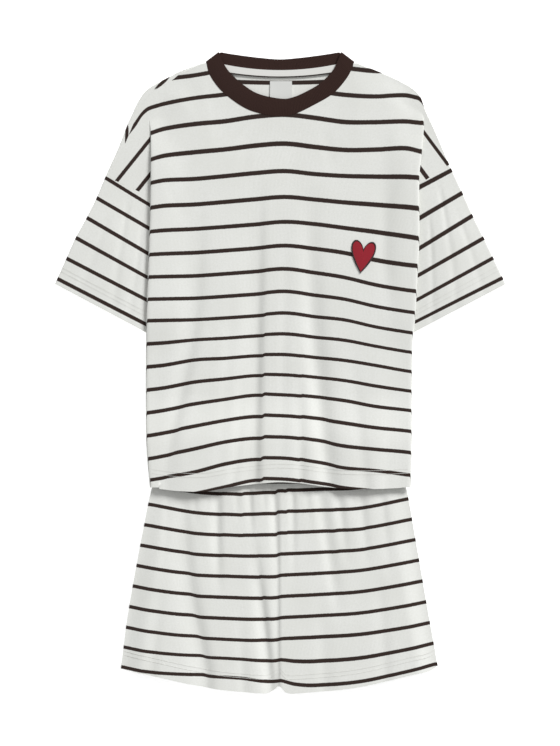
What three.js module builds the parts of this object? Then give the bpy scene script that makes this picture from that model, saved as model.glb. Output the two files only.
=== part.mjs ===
// Pyjama set laid flat: a short-sleeved tee whose hem lies over the top of its shorts.
// Millimetres. The set lies on z = 0, +Y runs from the shorts' hems to the collar, +X is right,
// and the origin is under the middle of the whole set. Left and right are as seen from above.
// Every panel is a wall of cloth: a sheet of points half way through it, thickened both ways.
import * as THREE from "three";

const { lerp: mix, smoothstep: ease } = THREE.MathUtils;

// Cloth walls, and the clearance between pieces that are sewn or lie together. The clearance is
// wider along seams whose two sides have their points in different places.
const JERSEY = 1.2;
const RIBBING = 1.8;
const ELASTIC = 2.4;
const TRIM = 1.0;
const MOTIF = 1.2;
const GAP = 0.3;
const SLANT_GAP = 0.6;

// Heights of the middle of each layer
const FIRST = JERSEY / 2;
const SECOND = FIRST + JERSEY + GAP;
const ROLL = (SECOND - FIRST) / 2;
const RIB_BACK = RIBBING / 2;
const TAPE_HEIGHT = RIBBING + GAP + TRIM / 2;
const LABEL_HEIGHT = JERSEY + GAP + TRIM / 2;
const RIB_FRONT = TAPE_HEIGHT + TRIM / 2 + 2 * GAP + RIBBING / 2;

// The tee is lifted where it lies over the shorts' waistband
const WAISTBAND = { top: -121.5, low: -157, halfWidth: 185 };
const LIFT = 2 * ELASTIC + 2 * GAP;
const LIFT_STARTS = -80;
const LIFT_ENDS = WAISTBAND.top + 5;
const lift = (y) => LIFT * (1 - ease(y, LIFT_ENDS, LIFT_STARTS));

// Tee outline. A shoulder runs from the collar to the top of the armhole seam, and its seam is
// rolled forward by roll: the left one more than the right one.
const SHOULDERS = {
  left: [
    { x: -115.6, y: 481.9, roll: 1.6 },
    { x: -154.5, y: 468.1, roll: 4 },
    { x: -171.3, y: 459.1, roll: 7 },
    { x: -194.1, y: 447.3, roll: 8 },
    { x: -206, y: 439.4, roll: 8.5 },
    { x: -213.9, y: 430.6, roll: 8.5 },
    { x: -221.8, y: 416.6, roll: 8.5 },
    { x: -235.6, y: 387, roll: 8 },
    { x: -249.4, y: 351.4, roll: 7 },
    { x: -270.5, y: 304.7, roll: 4 },
  ],
  right: [
    { x: 115.6, y: 481.9, roll: 1.6 },
    { x: 140.4, y: 472.1, roll: 1.6 },
    { x: 172.1, y: 459.1, roll: 1.6 },
    { x: 191.9, y: 449.3, roll: 1.6 },
    { x: 207.7, y: 439.4, roll: 1.6 },
    { x: 217.6, y: 428.6, roll: 1.6 },
    { x: 223.5, y: 412.8, roll: 1.6 },
    { x: 231.4, y: 394.9, roll: 1.6 },
    { x: 244.6, y: 366, roll: 1.6 },
    { x: 262.8, y: 322.7, roll: 1.6 },
  ],
};

// Where the armhole seam goes under the body's edge
const ARMPITS = { left: { x: -200.4, y: 272.2 }, right: { x: 214.5, y: 291.1 } };
const ARMPIT_SETTLES = { from: 12, to: 1 };

// The body's edge, where the front rolls under
const BODY_EDGES = {
  left: [
    { y: -178, x: -200.5 },
    { y: -137, x: -204.6 },
    { y: -87, x: -207 },
    { y: 49, x: -207 },
    { y: 205, x: -202 },
    { y: 258, x: -200.4 },
    { y: 369, x: -200 },
    { y: 405, x: -204 },
    { y: 432, x: -202 },
  ],
  right: [
    { y: -178, x: 202 },
    { y: -112, x: 203.8 },
    { y: 50, x: 205.4 },
    { y: 81, x: 208.5 },
    { y: 130, x: 211.4 },
    { y: 210, x: 215.1 },
    { y: 302, x: 215.1 },
    { y: 345, x: 219.5 },
    { y: 389, x: 222.4 },
    { y: 428, x: 217 },
  ],
};

// Section of that edge: height of the chest at it, of the cloth just under it and of the inner
// end of what returns under it, and how far it returns. Above the armpit it is a pleat, which
// turns again into the drop shoulder and opens out towards the shoulder, sooner on the left.
const PLEATS = {
  left: [
    { y: -178, edge: 6, under: 2.4, inner: 4.1, depth: 10 },
    { y: 30, edge: 6.4, under: 2.8, inner: 4.1, depth: 10 },
    { y: 85, edge: 8.8, under: 5.4, inner: 4.1, depth: 12 },
    { y: 300, edge: 8.6, under: 5.6, inner: 4.1, depth: 12 },
    { y: 335, edge: 7.4, under: 5.2, inner: 4.1, depth: 8 },
    { y: 362, edge: 5, under: 4.1, inner: 3.3, depth: 3 },
    { y: 378, edge: 3.6, under: 3, inner: 2.5, depth: 0 },
    { y: 392, edge: SECOND, under: SECOND, inner: SECOND, depth: 0 },
  ],
  right: [
    { y: -178, edge: 6, under: 2.4, inner: 4.1, depth: 10 },
    { y: 30, edge: 6.4, under: 2.8, inner: 4.1, depth: 10 },
    { y: 85, edge: 8.8, under: 5.4, inner: 4.1, depth: 12 },
    { y: 300, edge: 9, under: 5.7, inner: 4.1, depth: 12 },
    { y: 345, edge: 7.6, under: 5.3, inner: 4.1, depth: 8 },
    { y: 372, edge: 5, under: 4.1, inner: 3.3, depth: 3 },
    { y: 388, edge: 3.6, under: 3, inner: 2.5, depth: 0 },
    { y: 400, edge: SECOND, under: SECOND, inner: SECOND, depth: 0 },
  ],
};
const PLEAT_LEAD = 14;
const EDGE_BLEND = 62;

// Where the chest starts to follow the neck and shoulders: heights at its middle, across, up and
// in how far it stands off, and distances under the shoulder at its two sides
const CHEST_FOLLOWS = {
  across: { middle: 250, side: 1 },
  up: { middle: 120, side: 60 },
  height: { middle: 320, side: 12 },
};
const CHEST_SIDES = 0.5;

// How far the chest stands off the back between its folds
const LOFT = [
  { y: -178, height: 6.6 },
  { y: 60, height: 5.6 },
  { y: 250, height: 4.4 },
  { y: 380, height: 3 },
  { y: 440, height: 2.6 },
];

// Long soft folds. Each point is x, y and depth, and left and right are how far each flank runs.
const TEE_FOLDS = [
  { top: [-119, 300, 0], middle: [-130, 66, 2.6], low: [-177, -158, 5], left: 20, right: 15 },
  { top: [-21, 310, 0], middle: [-26, 66, 3.4], low: [-30, -175, 5.6], left: 27, right: 10 },
  { top: [52, 290, 0], middle: [59, 66, 3.2], low: [82, -175, 5.6], left: 13, right: 20 },
  { top: [174, 350, 0], middle: [164, 190, 1.5], low: [186, 30, 0], left: 12, right: 12 },
  { top: [30, 10, 0], middle: [32, -90, 1.2], low: [33, -175, 2], left: 9, right: 7 },
];
const SHORTS_FOLDS = [
  { top: [-150, -157, 1.6], middle: [-141, -290, 2.4], low: [-108, -470, 4.6], left: 15, right: 10 },
  { top: [-92, -157, 1.8], middle: [-91, -256, 2], low: [-89, -350, 0], left: 9, right: 9 },
  { top: [-46, -157, 1.8], middle: [-40, -220, 1.6], low: [-19, -490, 4.8], left: 11, right: 8 },
  { top: [-134, -157, 1.6], middle: [-133, -200, 1], low: [-130, -245, 0], left: 6, right: 6 },
  { top: [-9, -157, 1.8], middle: [-8, -210, 1.2], low: [-6, -262, 0], left: 6, right: 5 },
  { top: [12, -157, 1.6], middle: [13, -205, 1.2], low: [15, -255, 0], left: 5, right: 6 },
  { top: [62, -157, 1.8], middle: [74, -280, 2], low: [86, -380, 0], left: 9, right: 12 },
  { top: [90, -157, 1.6], middle: [96, -215, 1.4], low: [104, -290, 0], left: 7, right: 8 },
  { top: [128, -157, 1.8], middle: [132, -220, 1.6], low: [138, -300, 0], left: 8, right: 9 },
];
const SHORTS_LOFT = [
  { y: -500, height: 5.4 },
  { y: -330, height: 4.6 },
  { y: -200, height: 2.8 },
  { y: -157, height: 2.2 },
];
const SHORTS_EDGE_BLEND = 34;

// Hems
const TEE_HEM = [
  { x: -202, y: -177.5 },
  { x: -161.7, y: -182.6 },
  { x: -114.7, y: -183.5 },
  { x: -79, y: -177.3 },
  { x: -26.4, y: -171.1 },
  { x: -1.6, y: -169.3 },
  { x: 32.1, y: -171.1 },
  { x: 84.6, y: -178.1 },
  { x: 142.6, y: -179.8 },
  { x: 202, y: -177.5 },
];
const TEE_HEM_FADES = -40;
const BACK_HEM = -172;
const SHORTS_HEM = [
  { x: -246.8, y: -459.1 },
  { x: -196.5, y: -470.3 },
  { x: -107.1, y: -489.2 },
  { x: -29, y: -497.1 },
  { x: -17.8, y: -496.6 },
  { x: -8.8, y: -491.5 },
  { x: -1.2, y: -485.8 },
  { x: 9.1, y: -495.8 },
  { x: 29.1, y: -496.6 },
  { x: 118.6, y: -488.1 },
  { x: 207.9, y: -467.9 },
  { x: 232.3, y: -462.4 },
  { x: 244.7, y: -454.6 },
];
const OUTSEAMS = {
  left: [
    { y: -157, x: -191 },
    { y: -178.9, x: -198.9 },
    { y: -236.2, x: -210.8 },
    { y: -372.6, x: -235.6 },
    { y: -459.1, x: -246.8 },
  ],
  right: [
    { y: -157, x: 190 },
    { y: -177.9, x: 196.1 },
    { y: -261, x: 210.8 },
    { y: -360.2, x: 227.9 },
    { y: -454.6, x: 244.7 },
  ],
};
const CENTRE_SEAM = -1.2;

// Upper folds of the sleeves, from the armhole to the cuff, and the cuffs' height at the body
const SLEEVES = {
  left: [
    { x: -285, y: 270.3 },
    { x: -300.9, y: 238.7 },
    { x: -317.6, y: 208.2 },
    { x: -332, y: 176.1 },
    { x: -349.3, y: 137.5 },
  ],
  right: [
    { x: 282.7, y: 280.2 },
    { x: 299.6, y: 242.7 },
    { x: 316.4, y: 209.1 },
    { x: 333, y: 174 },
    { x: 350.3, y: 137.3 },
  ],
};
const CUFF_Y = 60;
const SLEEVE_TUCK = 3;
const SLEEVE_LOFT = 2.4;
const SLEEVE_PUFFS_BY = 0.3;

// Collar: the seam and the free edge of its front half, which ends in the two shoulder folds
const NECK_SEAM = [
  { x: -109.6, y: 463.1 },
  { x: -97.7, y: 444.4 },
  { x: -81.8, y: 428.6 },
  { x: -56.1, y: 410.8 },
  { x: -32.4, y: 401.9 },
  { x: -0.8, y: 397 },
  { x: 22.9, y: 400.8 },
  { x: 52.5, y: 414.8 },
  { x: 82.3, y: 432.5 },
  { x: 102, y: 454.3 },
  { x: 111.9, y: 472 },
];
const NECK_FREE = [
  { x: -86.8, y: 478 },
  { x: -76, y: 463.1 },
  { x: -56.1, y: 445.3 },
  { x: -32.4, y: 431.5 },
  { x: 3.1, y: 424.2 },
  { x: 22.9, y: 427.5 },
  { x: 42.8, y: 436.5 },
  { x: 62.5, y: 448.3 },
  { x: 80.3, y: 466.1 },
  { x: 87.3, y: 478.3 },
];
const COLLAR_SEAM_END = { x: 115.6, y: 481.9 };
const COLLAR_FREE_END = { x: 95.6, y: 497.1 };
const BACK_SEAM_Y = 461;
const BACK_FREE_Y = 485.9;
const RIB_CROWN = 0.4;

// Trims in the neck and on the chest
const TAPE = { halfLength: 90, topY: 469, topRise: 9.6, lowY: 457.9, lowRise: 8.2 };
const LABEL = { left: -15.5, right: 18.6, top: 452.1, low: 419 };
const HEART = { x: 127.7, y: 178.5, width: 38, height: 51, lean: -0.13, clear: 0.5 };
const HEART_WAVES = [12, -6, -2.5];
const HEART_STEPS = 28;

// Steps of the sheets
const NECK_STEPS = 16;
const SHOULDER_STEPS = 5;
const CHEST_STEPS = NECK_STEPS + 2 * SHOULDER_STEPS;
const BACK_NECK_STEPS = 8;
const BACK_SHOULDER_STEPS = 9;
const BODY_LEVELS = [0, 0.045, 0.09, 0.135, 0.18, 0.23, 0.33, 0.43, 0.53, 0.62, 0.71, 0.8, 0.88, 0.95];
const ARMHOLE_LEVELS = [0, 0.3, 0.65];
const YOKE_LEVELS = [0, 0.08, 0.16, 0.24, 0.32, 0.4, 0.48, 0.56, 0.64, 0.71, 0.78, 0.84, 0.9, 0.95, 1];
const BACK_YOKE_STEPS = 7;
const SLEEVE_STEPS = 9;
const SLEEVE_UPPER = [0.12, 0.25, 0.38, 0.5, 0.62, 0.75, 0.88];
const SLEEVE_LOWER = [0.75, 0.5, 0.25];
const FRONT_PANEL = { columns: 22, levels: 12 };
const BACK_PANEL = { columns: 8, levels: 6 };
const MERGE = 1000;
const LONGEST_MITRE = 1.5;
const SLIVER = 0.12;

const MATERIALS = {
  jersey: new THREE.MeshStandardMaterial({ color: 0xe3e4df, roughness: 0.95, metalness: 0 }),
  rib: new THREE.MeshStandardMaterial({ color: 0x38251f, roughness: 0.95, metalness: 0 }),
  tape: new THREE.MeshStandardMaterial({ color: 0xd9dad5, roughness: 0.95, metalness: 0 }),
  label: new THREE.MeshStandardMaterial({ color: 0xd8d9d6, roughness: 0.7, metalness: 0 }),
  heart: new THREE.MeshStandardMaterial({ color: 0xa32030, roughness: 0.6, metalness: 0 }),
};

// Value of one column at a place in another, on a smooth or a straight line through the rows
function along(table, from, to, straight = false) {
  const rows = [...table].sort((a, b) => a[from] - b[from]);
  const last = rows.length - 1;
  const slope = (i) => {
    const low = rows[Math.max(i - 1, 0)];
    const high = rows[Math.min(i + 1, last)];
    return (high[to] - low[to]) / (high[from] - low[from]);
  };
  return (place) => {
    if (place <= rows[0][from]) return rows[0][to];
    if (place >= rows[last][from]) return rows[last][to];
    const i = rows.findIndex((row) => row[from] > place) - 1;
    const [a, b] = [rows[i], rows[i + 1]];
    const step = b[from] - a[from];
    const t = (place - a[from]) / step;
    if (straight) return mix(a[to], b[to], t);
    const start = a[to] * (2 * t ** 3 - 3 * t ** 2 + 1) + slope(i) * step * (t ** 3 - 2 * t ** 2 + t);
    return start + b[to] * (3 * t ** 2 - 2 * t ** 3) + slope(i + 1) * step * (t ** 3 - t ** 2);
  };
}

const vector2 = ({ x, y }) => new THREE.Vector2(x, y);
const sign = { left: -1, right: 1 };
const rows = (count) => Array.from({ length: count + 1 }, (_, i) => i / count);

// A polygon with each corner cut once, its two ends kept
function cutCorners(points) {
  const cut = [points[0]];
  for (let i = 0; i + 1 < points.length; i++) {
    cut.push(points[i].clone().lerp(points[i + 1], 0.25));
    cut.push(points[i].clone().lerp(points[i + 1], 0.75));
  }
  return [...cut, points.at(-1)];
}

// One closed wall round a sheet given as rows of points. Points that coincide are one point, so
// a row may narrow to nothing and a sheet may close on itself.
function wall(name, sheet, thickness, material) {
  const points = [];
  const numbers = new Map();
  const numberOf = (point) => {
    const key = point.toArray().map((value) => Math.round(value * MERGE)).join();
    if (!numbers.has(key)) numbers.set(key, points.push(point) - 1);
    return numbers.get(key);
  };
  const ids = sheet.map((row) => row.map(numberOf));
  const faces = [];
  for (let j = 0; j + 1 < ids.length; j++) {
    for (let i = 0; i + 1 < ids[j].length; i++) {
      const [a, b, c, d] = [ids[j][i], ids[j][i + 1], ids[j + 1][i + 1], ids[j + 1][i]];
      if (a !== b && b !== c && a !== c) faces.push([a, b, c]);
      if (a !== c && c !== d && a !== d) faces.push([a, c, d]);
    }
  }

  const normals = faces.map((face) => {
    const [a, b, c] = face.map((id) => points[id]);
    return b.clone().sub(a).cross(c.clone().sub(a)).normalize();
  });
  const around = points.map(() => []);
  faces.forEach((face, f) => {
    face.forEach((id, corner) => {
      const one = points[face[(corner + 1) % 3]].clone().sub(points[id]);
      const other = points[face[(corner + 2) % 3]].clone().sub(points[id]);
      around[id].push({ normal: normals[f], angle: one.angleTo(other) });
    });
  });
  const offsets = around.map((list) => {
    const mean = new THREE.Vector3();
    list.forEach(({ normal, angle }) => mean.addScaledVector(normal, angle));
    mean.normalize();
    const wide = list.filter(({ angle }) => angle > SLIVER);
    const least = Math.min(1, ...wide.map(({ normal }) => normal.dot(mean)));
    return mean.multiplyScalar(Math.min(1 / Math.max(least, 0.1), LONGEST_MITRE) * thickness / 2);
  });

  const used = new Set(faces.flatMap(([a, b, c]) => [`${a},${b}`, `${b},${c}`, `${c},${a}`]));
  const count = points.length;
  const index = [];
  for (const [a, b, c] of faces) {
    index.push(a, b, c, a + count, c + count, b + count);
    for (const [from, to] of [[a, b], [b, c], [c, a]]) {
      if (used.has(`${to},${from}`)) continue;
      index.push(to, from, from + count, to, from + count, to + count);
    }
  }
  const upper = points.map((point, i) => point.clone().add(offsets[i]));
  const lower = points.map((point, i) => point.clone().sub(offsets[i]));
  const position = [...upper, ...lower].flatMap(({ x, y, z }) => [x, y, Math.max(z, 0)]);
  const geometry = new THREE.BufferGeometry();
  geometry.setAttribute("position", new THREE.Float32BufferAttribute(position, 3));
  geometry.setIndex(index);
  geometry.computeVertexNormals();
  const mesh = new THREE.Mesh(geometry, material);
  mesh.name = name;
  return mesh;
}

// Depth of the folds in a table at a place on the cloth
function foldDepth(table, x, y) {
  return table.reduce((sum, fold) => {
    const line = [fold.top, fold.middle, fold.low].map((point) => {
      return { x: point[0], y: point[1], depth: point[2] };
    });
    if (y > fold.top[1]) return sum;
    const from = x - along(line, "y", "x")(y);
    const flank = from < 0 ? fold.left : fold.right;
    return sum + along(line, "y", "depth")(y) * Math.exp(-((from / flank) ** 2));
  }, 0);
}

// Tee body
const pleatOf = (side) => ({
  edge: along(PLEATS[side], "y", "edge"),
  under: along(PLEATS[side], "y", "under"),
  inner: along(PLEATS[side], "y", "inner"),
  depth: along(PLEATS[side], "y", "depth"),
});
const pleats = { left: pleatOf("left"), right: pleatOf("right") };
const bodyEdge = {
  left: along(BODY_EDGES.left, "y", "x"),
  right: along(BODY_EDGES.right, "y", "x"),
};
const returnX = (side, y) => bodyEdge[side](y) - sign[side] * pleats[side].depth(y);

// The armhole seam is one straight line from the shoulder to the return under the body's edge
function armhole(side) {
  const top = vector2(SHOULDERS[side].at(-1));
  const armpit = vector2(ARMPITS[side]);
  const down = armpit.clone().sub(top).normalize();
  const lowX = returnX(side, armpit.y);
  const low = top.clone().addScaledVector(down, (lowX - top.x) / down.x);
  return { top, low, down };
}

// Places along a shoulder, moved in from its outline by a distance that may grow with its roll
function shoulderLine(side, steps, inset) {
  const curve = new THREE.SplineCurve(SHOULDERS[side].map(vector2));
  const rollAt = along(SHOULDERS[side], "y", "roll");
  return rows(steps).map((part) => {
    const place = curve.getPointAt(part);
    const run = curve.getTangentAt(part);
    const inward = new THREE.Vector2(run.y * sign[side], -run.x * sign[side]);
    const far = inset(rollAt(place.y));
    return { point: place.clone().addScaledVector(inward, far), inward, place, roll: rollAt(place.y) };
  });
}

function chestHeight(x, y) {
  const side = x < 0 ? "left" : "right";
  const fromEdge = Math.abs(bodyEdge[side](y)) - Math.abs(x);
  const loft = along(LOFT, "y", "height")(y) - foldDepth(TEE_FOLDS, x, y);
  const body = SECOND + Math.max(loft, GAP);
  return lift(y) + mix(pleats[side].edge(y), body, ease(fromEdge, PLEAT_LEAD, EDGE_BLEND));
}

// Outer limit of the front's drop shoulder at each height, and the corner where it starts
function wing(side) {
  const seam = armhole(side);
  const inset = shoulderLine(side, BACK_SHOULDER_STEPS, (roll) => roll + SLANT_GAP);
  const atSeam = seam.top.clone().addScaledVector(seam.down, inset.at(-1).roll + SLANT_GAP);
  const above = inset.map(({ point }) => point).filter((point) => point.y > atSeam.y + 2);
  const outer = along([...above, atSeam, seam.low], "y", "x", true);
  const edge = bodyEdge[side];
  const yAt = along(above, "x", "y", true);
  const corner = new THREE.Vector2(edge(BODY_EDGES[side].at(-1).y), 0);
  corner.y = yAt(corner.x);
  return { seam, atSeam, outer, corner, yAt };
}

function teeFront() {
  const hem = along(TEE_HEM, "x", "y");
  const bottom = TEE_HEM[0].y;
  const wings = { left: wing("left"), right: wing("right") };
  const levelsOf = ({ seam, atSeam, corner }) => [
    ...BODY_LEVELS.map((part) => mix(bottom, seam.low.y, part)),
    ...ARMHOLE_LEVELS.map((part) => mix(seam.low.y, atSeam.y, part)),
    ...YOKE_LEVELS.map((part) => mix(atSeam.y, corner.y, part)),
  ];
  const levels = { left: levelsOf(wings.left), right: levelsOf(wings.right) };

  // The row of points from the chest's edge out to the drop shoulder, on one side
  function pleatRow(side, y) {
    const { seam, outer, corner, yAt } = wings[side];
    const pleat = pleats[side];
    const out = sign[side];
    const above = y > seam.low.y;
    const limit = above ? Math.abs(outer(y)) : Infinity;
    const edgeX = out * Math.min(Math.abs(bodyEdge[side](y)), limit);
    const atTop = y >= corner.y;
    const backX = atTop ? edgeX : edgeX - out * pleat.depth(y);
    const raised = lift(y);
    const flat = ease(y, corner.y - CHEST_FOLLOWS.height.side, corner.y);
    const height = (value) => mix(value, SECOND, flat);
    const fromArmpit = ease(y, seam.low.y - ARMPIT_SETTLES.from, seam.low.y - ARMPIT_SETTLES.to);
    const inner = mix(FIRST, height(pleat.inner(y)), fromArmpit);
    const wingHeight = above ? SECOND : inner;
    const outerX = above ? outer(y) : backX;
    const section = [
      [edgeX - out * PLEAT_LEAD, raised + height(pleat.edge(y))],
      [edgeX, raised + height(pleat.edge(y))],
      [edgeX, raised + height(pleat.under(y))],
      [backX, raised + inner],
      [backX, raised + wingHeight],
      [outerX, raised + wingHeight],
    ];
    const row = cutCorners(section.map(([x, z]) => new THREE.Vector3(x, y, z)));
    const rise = ease(y, corner.y - CHEST_FOLLOWS.up.side, corner.y);
    row.forEach((point) => {
      const inside = out * Math.min(Math.abs(point.x), Math.abs(corner.x));
      point.y += rise * (yAt(inside) - corner.y);
    });
    return row;
  }

  const top = chestTop(wings);
  return wall("tee_front", levels.left.map((leftY, j) => {
    const ys = { left: leftY, right: levels.right[j] };
    const left = pleatRow("left", ys.left);
    const right = pleatRow("right", ys.right);
    const chest = top.map((end, i) => {
      const part = i / CHEST_STEPS;
      const level = mix(ys.left, ys.right, part);
      const roof = mix(wings.left.corner.y, wings.right.corner.y, part);
      const side = ease(Math.abs(2 * part - 1), CHEST_SIDES, 1);
      const follow = (way) => ease(level, mix(way.middle, roof - way.side, side), roof);
      const across = mix(left[0].x, right[0].x, part);
      const x = mix(across, end.x, follow(CHEST_FOLLOWS.across));
      const hemShift = (hem(x) - bottom) * (1 - ease(level, bottom, TEE_HEM_FADES));
      const y = level + (end.y - roof) * follow(CHEST_FOLLOWS.up) + hemShift;
      const z = mix(chestHeight(x, Math.min(y, level)), end.z, follow(CHEST_FOLLOWS.height));
      return new THREE.Vector3(x, y, z);
    });
    return [...left.slice(1).reverse(), ...chest, ...right.slice(1)];
  }), JERSEY, MATERIALS.jersey);
}

// Upper end of each column of the chest: left shoulder, neck seam, right shoulder
function chestTop(wings) {
  const shoulder = (side) => {
    const { corner, yAt } = wings[side];
    return rows(SHOULDER_STEPS).slice(1).map((part) => {
      const collar = sign[side] * COLLAR_SEAM_END.x;
      const x = mix(collar, corner.x - sign[side] * PLEAT_LEAD, part);
      return new THREE.Vector3(x, yAt(x), mix(RIB_FRONT, SECOND, ease(part, 0, 0.7)));
    });
  };
  const { seam } = collarCurves();
  const neck = rows(NECK_STEPS).map((part) => {
    const place = seam.getPointAt(part);
    const run = seam.getTangentAt(part);
    return new THREE.Vector3(place.x + run.y * GAP, place.y - run.x * GAP, RIB_FRONT);
  });
  return [...shoulder("left").reverse(), ...neck, ...shoulder("right")];
}

function teeBack() {
  const count = BACK_NECK_STEPS + 2 * BACK_SHOULDER_STEPS;
  const line = (side) => {
    return shoulderLine(side, BACK_SHOULDER_STEPS, () => ROLL + JERSEY / 2).slice(1);
  };
  const { backSeam } = collarCurves();
  const neck = rows(BACK_NECK_STEPS).map((part) => {
    const place = backSeam.getPointAt(part);
    const run = backSeam.getTangentAt(part);
    return { point: new THREE.Vector2(place.x + run.y * GAP, place.y - run.x * GAP) };
  });
  const top = [...line("left").reverse(), ...neck, ...line("right")];
  const seams = { left: armhole("left"), right: armhole("right") };
  const ends = { left: top[0].point, right: top.at(-1).point };
  const raised = ({ x, y }) => new THREE.Vector3(x, y, FIRST + lift(y));
  const columns = rows(count);

  const body = BODY_LEVELS.map((part) => columns.map((across) => {
    const level = (side) => Math.max(mix(TEE_HEM[0].y, seams[side].low.y, part), BACK_HEM);
    const left = returnX("left", level("left")) + SLANT_GAP;
    const right = returnX("right", level("right")) - SLANT_GAP;
    const y = mix(level("left"), level("right"), across);
    return raised({ x: mix(left, right, across), y });
  }));
  const start = {
    left: new THREE.Vector2(seams.left.low.x + SLANT_GAP, seams.left.low.y),
    right: new THREE.Vector2(seams.right.low.x - SLANT_GAP, seams.right.low.y),
  };
  const yoke = rows(BACK_YOKE_STEPS).map((part) => columns.map((across, i) => {
    const sides = start.left.clone().lerp(ends.left, part).lerp(
      start.right.clone().lerp(ends.right, part), across);
    const lifted = top[i].point.clone().sub(ends.left.clone().lerp(ends.right, across));
    return raised(sides.addScaledVector(lifted, part));
  }));
  const turned = [Math.PI / 3, (2 * Math.PI) / 3, Math.PI].map((angle) => {
    return top.map(({ point, inward }) => {
      if (!inward) return raised(point);
      const place = point.clone().addScaledVector(inward, -ROLL * Math.sin(angle));
      return new THREE.Vector3(place.x, place.y, FIRST + ROLL * (1 - Math.cos(angle)));
    });
  });
  const forward = top.map(({ point, inward, place, roll }) => {
    if (!inward) return raised(point);
    const end = place.clone().addScaledVector(inward, roll);
    return new THREE.Vector3(end.x, end.y, SECOND);
  });
  return wall("tee_back", [...body, ...yoke, ...turned, forward], JERSEY, MATERIALS.jersey);
}

// A flattened tube from the armhole to the cuff
function sleeve(side) {
  const out = sign[side];
  const seam = armhole(side);
  const toCuff = new THREE.Vector2(seam.down.y * out, -seam.down.x * out).multiplyScalar(SLANT_GAP);
  if (toCuff.y > 0) toCuff.negate();
  const start = seam.top.clone().add(toCuff);
  const fold = new THREE.SplineCurve([start, ...SLEEVES[side].map(vector2)]);
  const innerX = (y) => bodyEdge[side](y) - out * SLEEVE_TUCK;
  const startY = seam.top.y + (innerX(ARMPITS[side].y) - seam.top.x) * (seam.down.y / seam.down.x);
  return wall(`sleeve_${side}`, rows(SLEEVE_STEPS).map((part) => {
    const outer = fold.getPointAt(part);
    const y = mix(startY + toCuff.y, CUFF_Y, part);
    const inner = new THREE.Vector2(innerX(y), y);
    const run = inner.clone().sub(outer);
    const length = run.length();
    run.normalize();
    const puff = SLEEVE_LOFT * ease(part, 0, SLEEVE_PUFFS_BY);
    const at = (far, z) => {
      const place = outer.clone().addScaledVector(run, far);
      return new THREE.Vector3(place.x, place.y, z);
    };
    const edge = JERSEY / 2;
    const turn = edge + ROLL;
    const upper = SLEEVE_UPPER.map((share) => {
      return at(share * length, SECOND + puff * Math.sin(Math.PI * share) ** 1.2);
    });
    const lower = SLEEVE_LOWER.map((share) => at(share * length, FIRST));
    const ring = [
      at(edge, FIRST + ROLL),
      at(turn, SECOND),
      ...upper,
      at(length - turn, SECOND),
      at(length - edge, FIRST + ROLL),
      at(length - turn, FIRST),
      ...lower,
      at(turn, FIRST),
    ];
    return [...ring, ring[0].clone()];
  }), JERSEY, MATERIALS.jersey);
}

// Curves of the collar, its shoulder folds already moved in by the fold's own radius
function collarCurves() {
  const radius = (RIB_FRONT - RIB_BACK) / 2;
  const inset = radius + RIBBING / 2;
  const fold = vector2(COLLAR_FREE_END).sub(vector2(COLLAR_SEAM_END)).normalize();
  const outward = { right: new THREE.Vector2(-fold.y, fold.x).negate() };
  if (outward.right.x < 0) outward.right.negate();
  outward.left = new THREE.Vector2(-outward.right.x, outward.right.y);
  const end = (side, { x, y }) => {
    return new THREE.Vector2(x * sign[side], y).addScaledVector(outward[side], -inset);
  };
  const ends = {
    seam: { left: end("left", COLLAR_SEAM_END), right: end("right", COLLAR_SEAM_END) },
    free: { left: end("left", COLLAR_FREE_END), right: end("right", COLLAR_FREE_END) },
  };
  const through = ({ left, right }, middle) => new THREE.SplineCurve([left, ...middle, right]);
  const dip = ({ left, right }, y) => {
    return through({ left, right }, [-0.6, -0.3, 0, 0.3, 0.6].map((part) => {
      return new THREE.Vector2(part * right.x, mix(y, right.y, part ** 2));
    }));
  };
  return {
    seam: through(ends.seam, NECK_SEAM.map(vector2)),
    free: through(ends.free, NECK_FREE.map(vector2)),
    backSeam: dip(ends.seam, BACK_SEAM_Y),
    backFree: dip(ends.free, BACK_FREE_Y),
    outward,
    radius,
  };
}

// The collar's rib is one ring. Its front half lies over its back half, folded at the shoulders.
function neckRib() {
  const { seam, free, backSeam, backFree, outward, radius } = collarCurves();
  const band = [0, 0.35, 0.7, 1];
  const across = (from, to, z, crown) => band.map((share) => {
    const place = from.clone().lerp(to, share);
    return new THREE.Vector3(place.x, place.y, z + crown * Math.sin(Math.PI * share));
  });
  const turn = (side, angles) => angles.map((angle) => {
    const part = side === "left" ? 0 : 1;
    const away = outward[side].clone().multiplyScalar(radius * Math.sin(angle));
    const z = RIB_BACK + radius * (1 + Math.cos(angle));
    return across(seam.getPointAt(part).add(away), free.getPointAt(part).add(away), z, 0);
  });
  const angles = [0.25, 0.5, 0.75].map((part) => part * Math.PI);
  const front = rows(NECK_STEPS).map((part) => {
    const crown = RIB_CROWN * ease(Math.min(part, 1 - part), 0, 0.1);
    return across(seam.getPointAt(part), free.getPointAt(part), RIB_FRONT, crown);
  });
  const back = rows(BACK_NECK_STEPS).reverse().map((part) => {
    return across(backSeam.getPointAt(part), backFree.getPointAt(part), RIB_BACK, 0);
  });
  const ring = [...front, ...turn("right", angles), ...back, ...turn("left", angles.reverse())];
  return wall("neck_rib", [...ring, ring[0].map((point) => point.clone())], RIBBING, MATERIALS.rib);
}

function neckTape() {
  const ends = rows(12).map((part) => mix(-TAPE.halfLength, TAPE.halfLength, part));
  const edge = (y, rise) => ends.map((x) => {
    return new THREE.Vector3(x, y + rise * (x / TAPE.halfLength) ** 2, TAPE_HEIGHT);
  });
  const sheet = [edge(TAPE.lowY, TAPE.lowRise), edge(TAPE.topY, TAPE.topRise)];
  return wall("neck_tape", sheet, TRIM, MATERIALS.tape);
}

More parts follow.
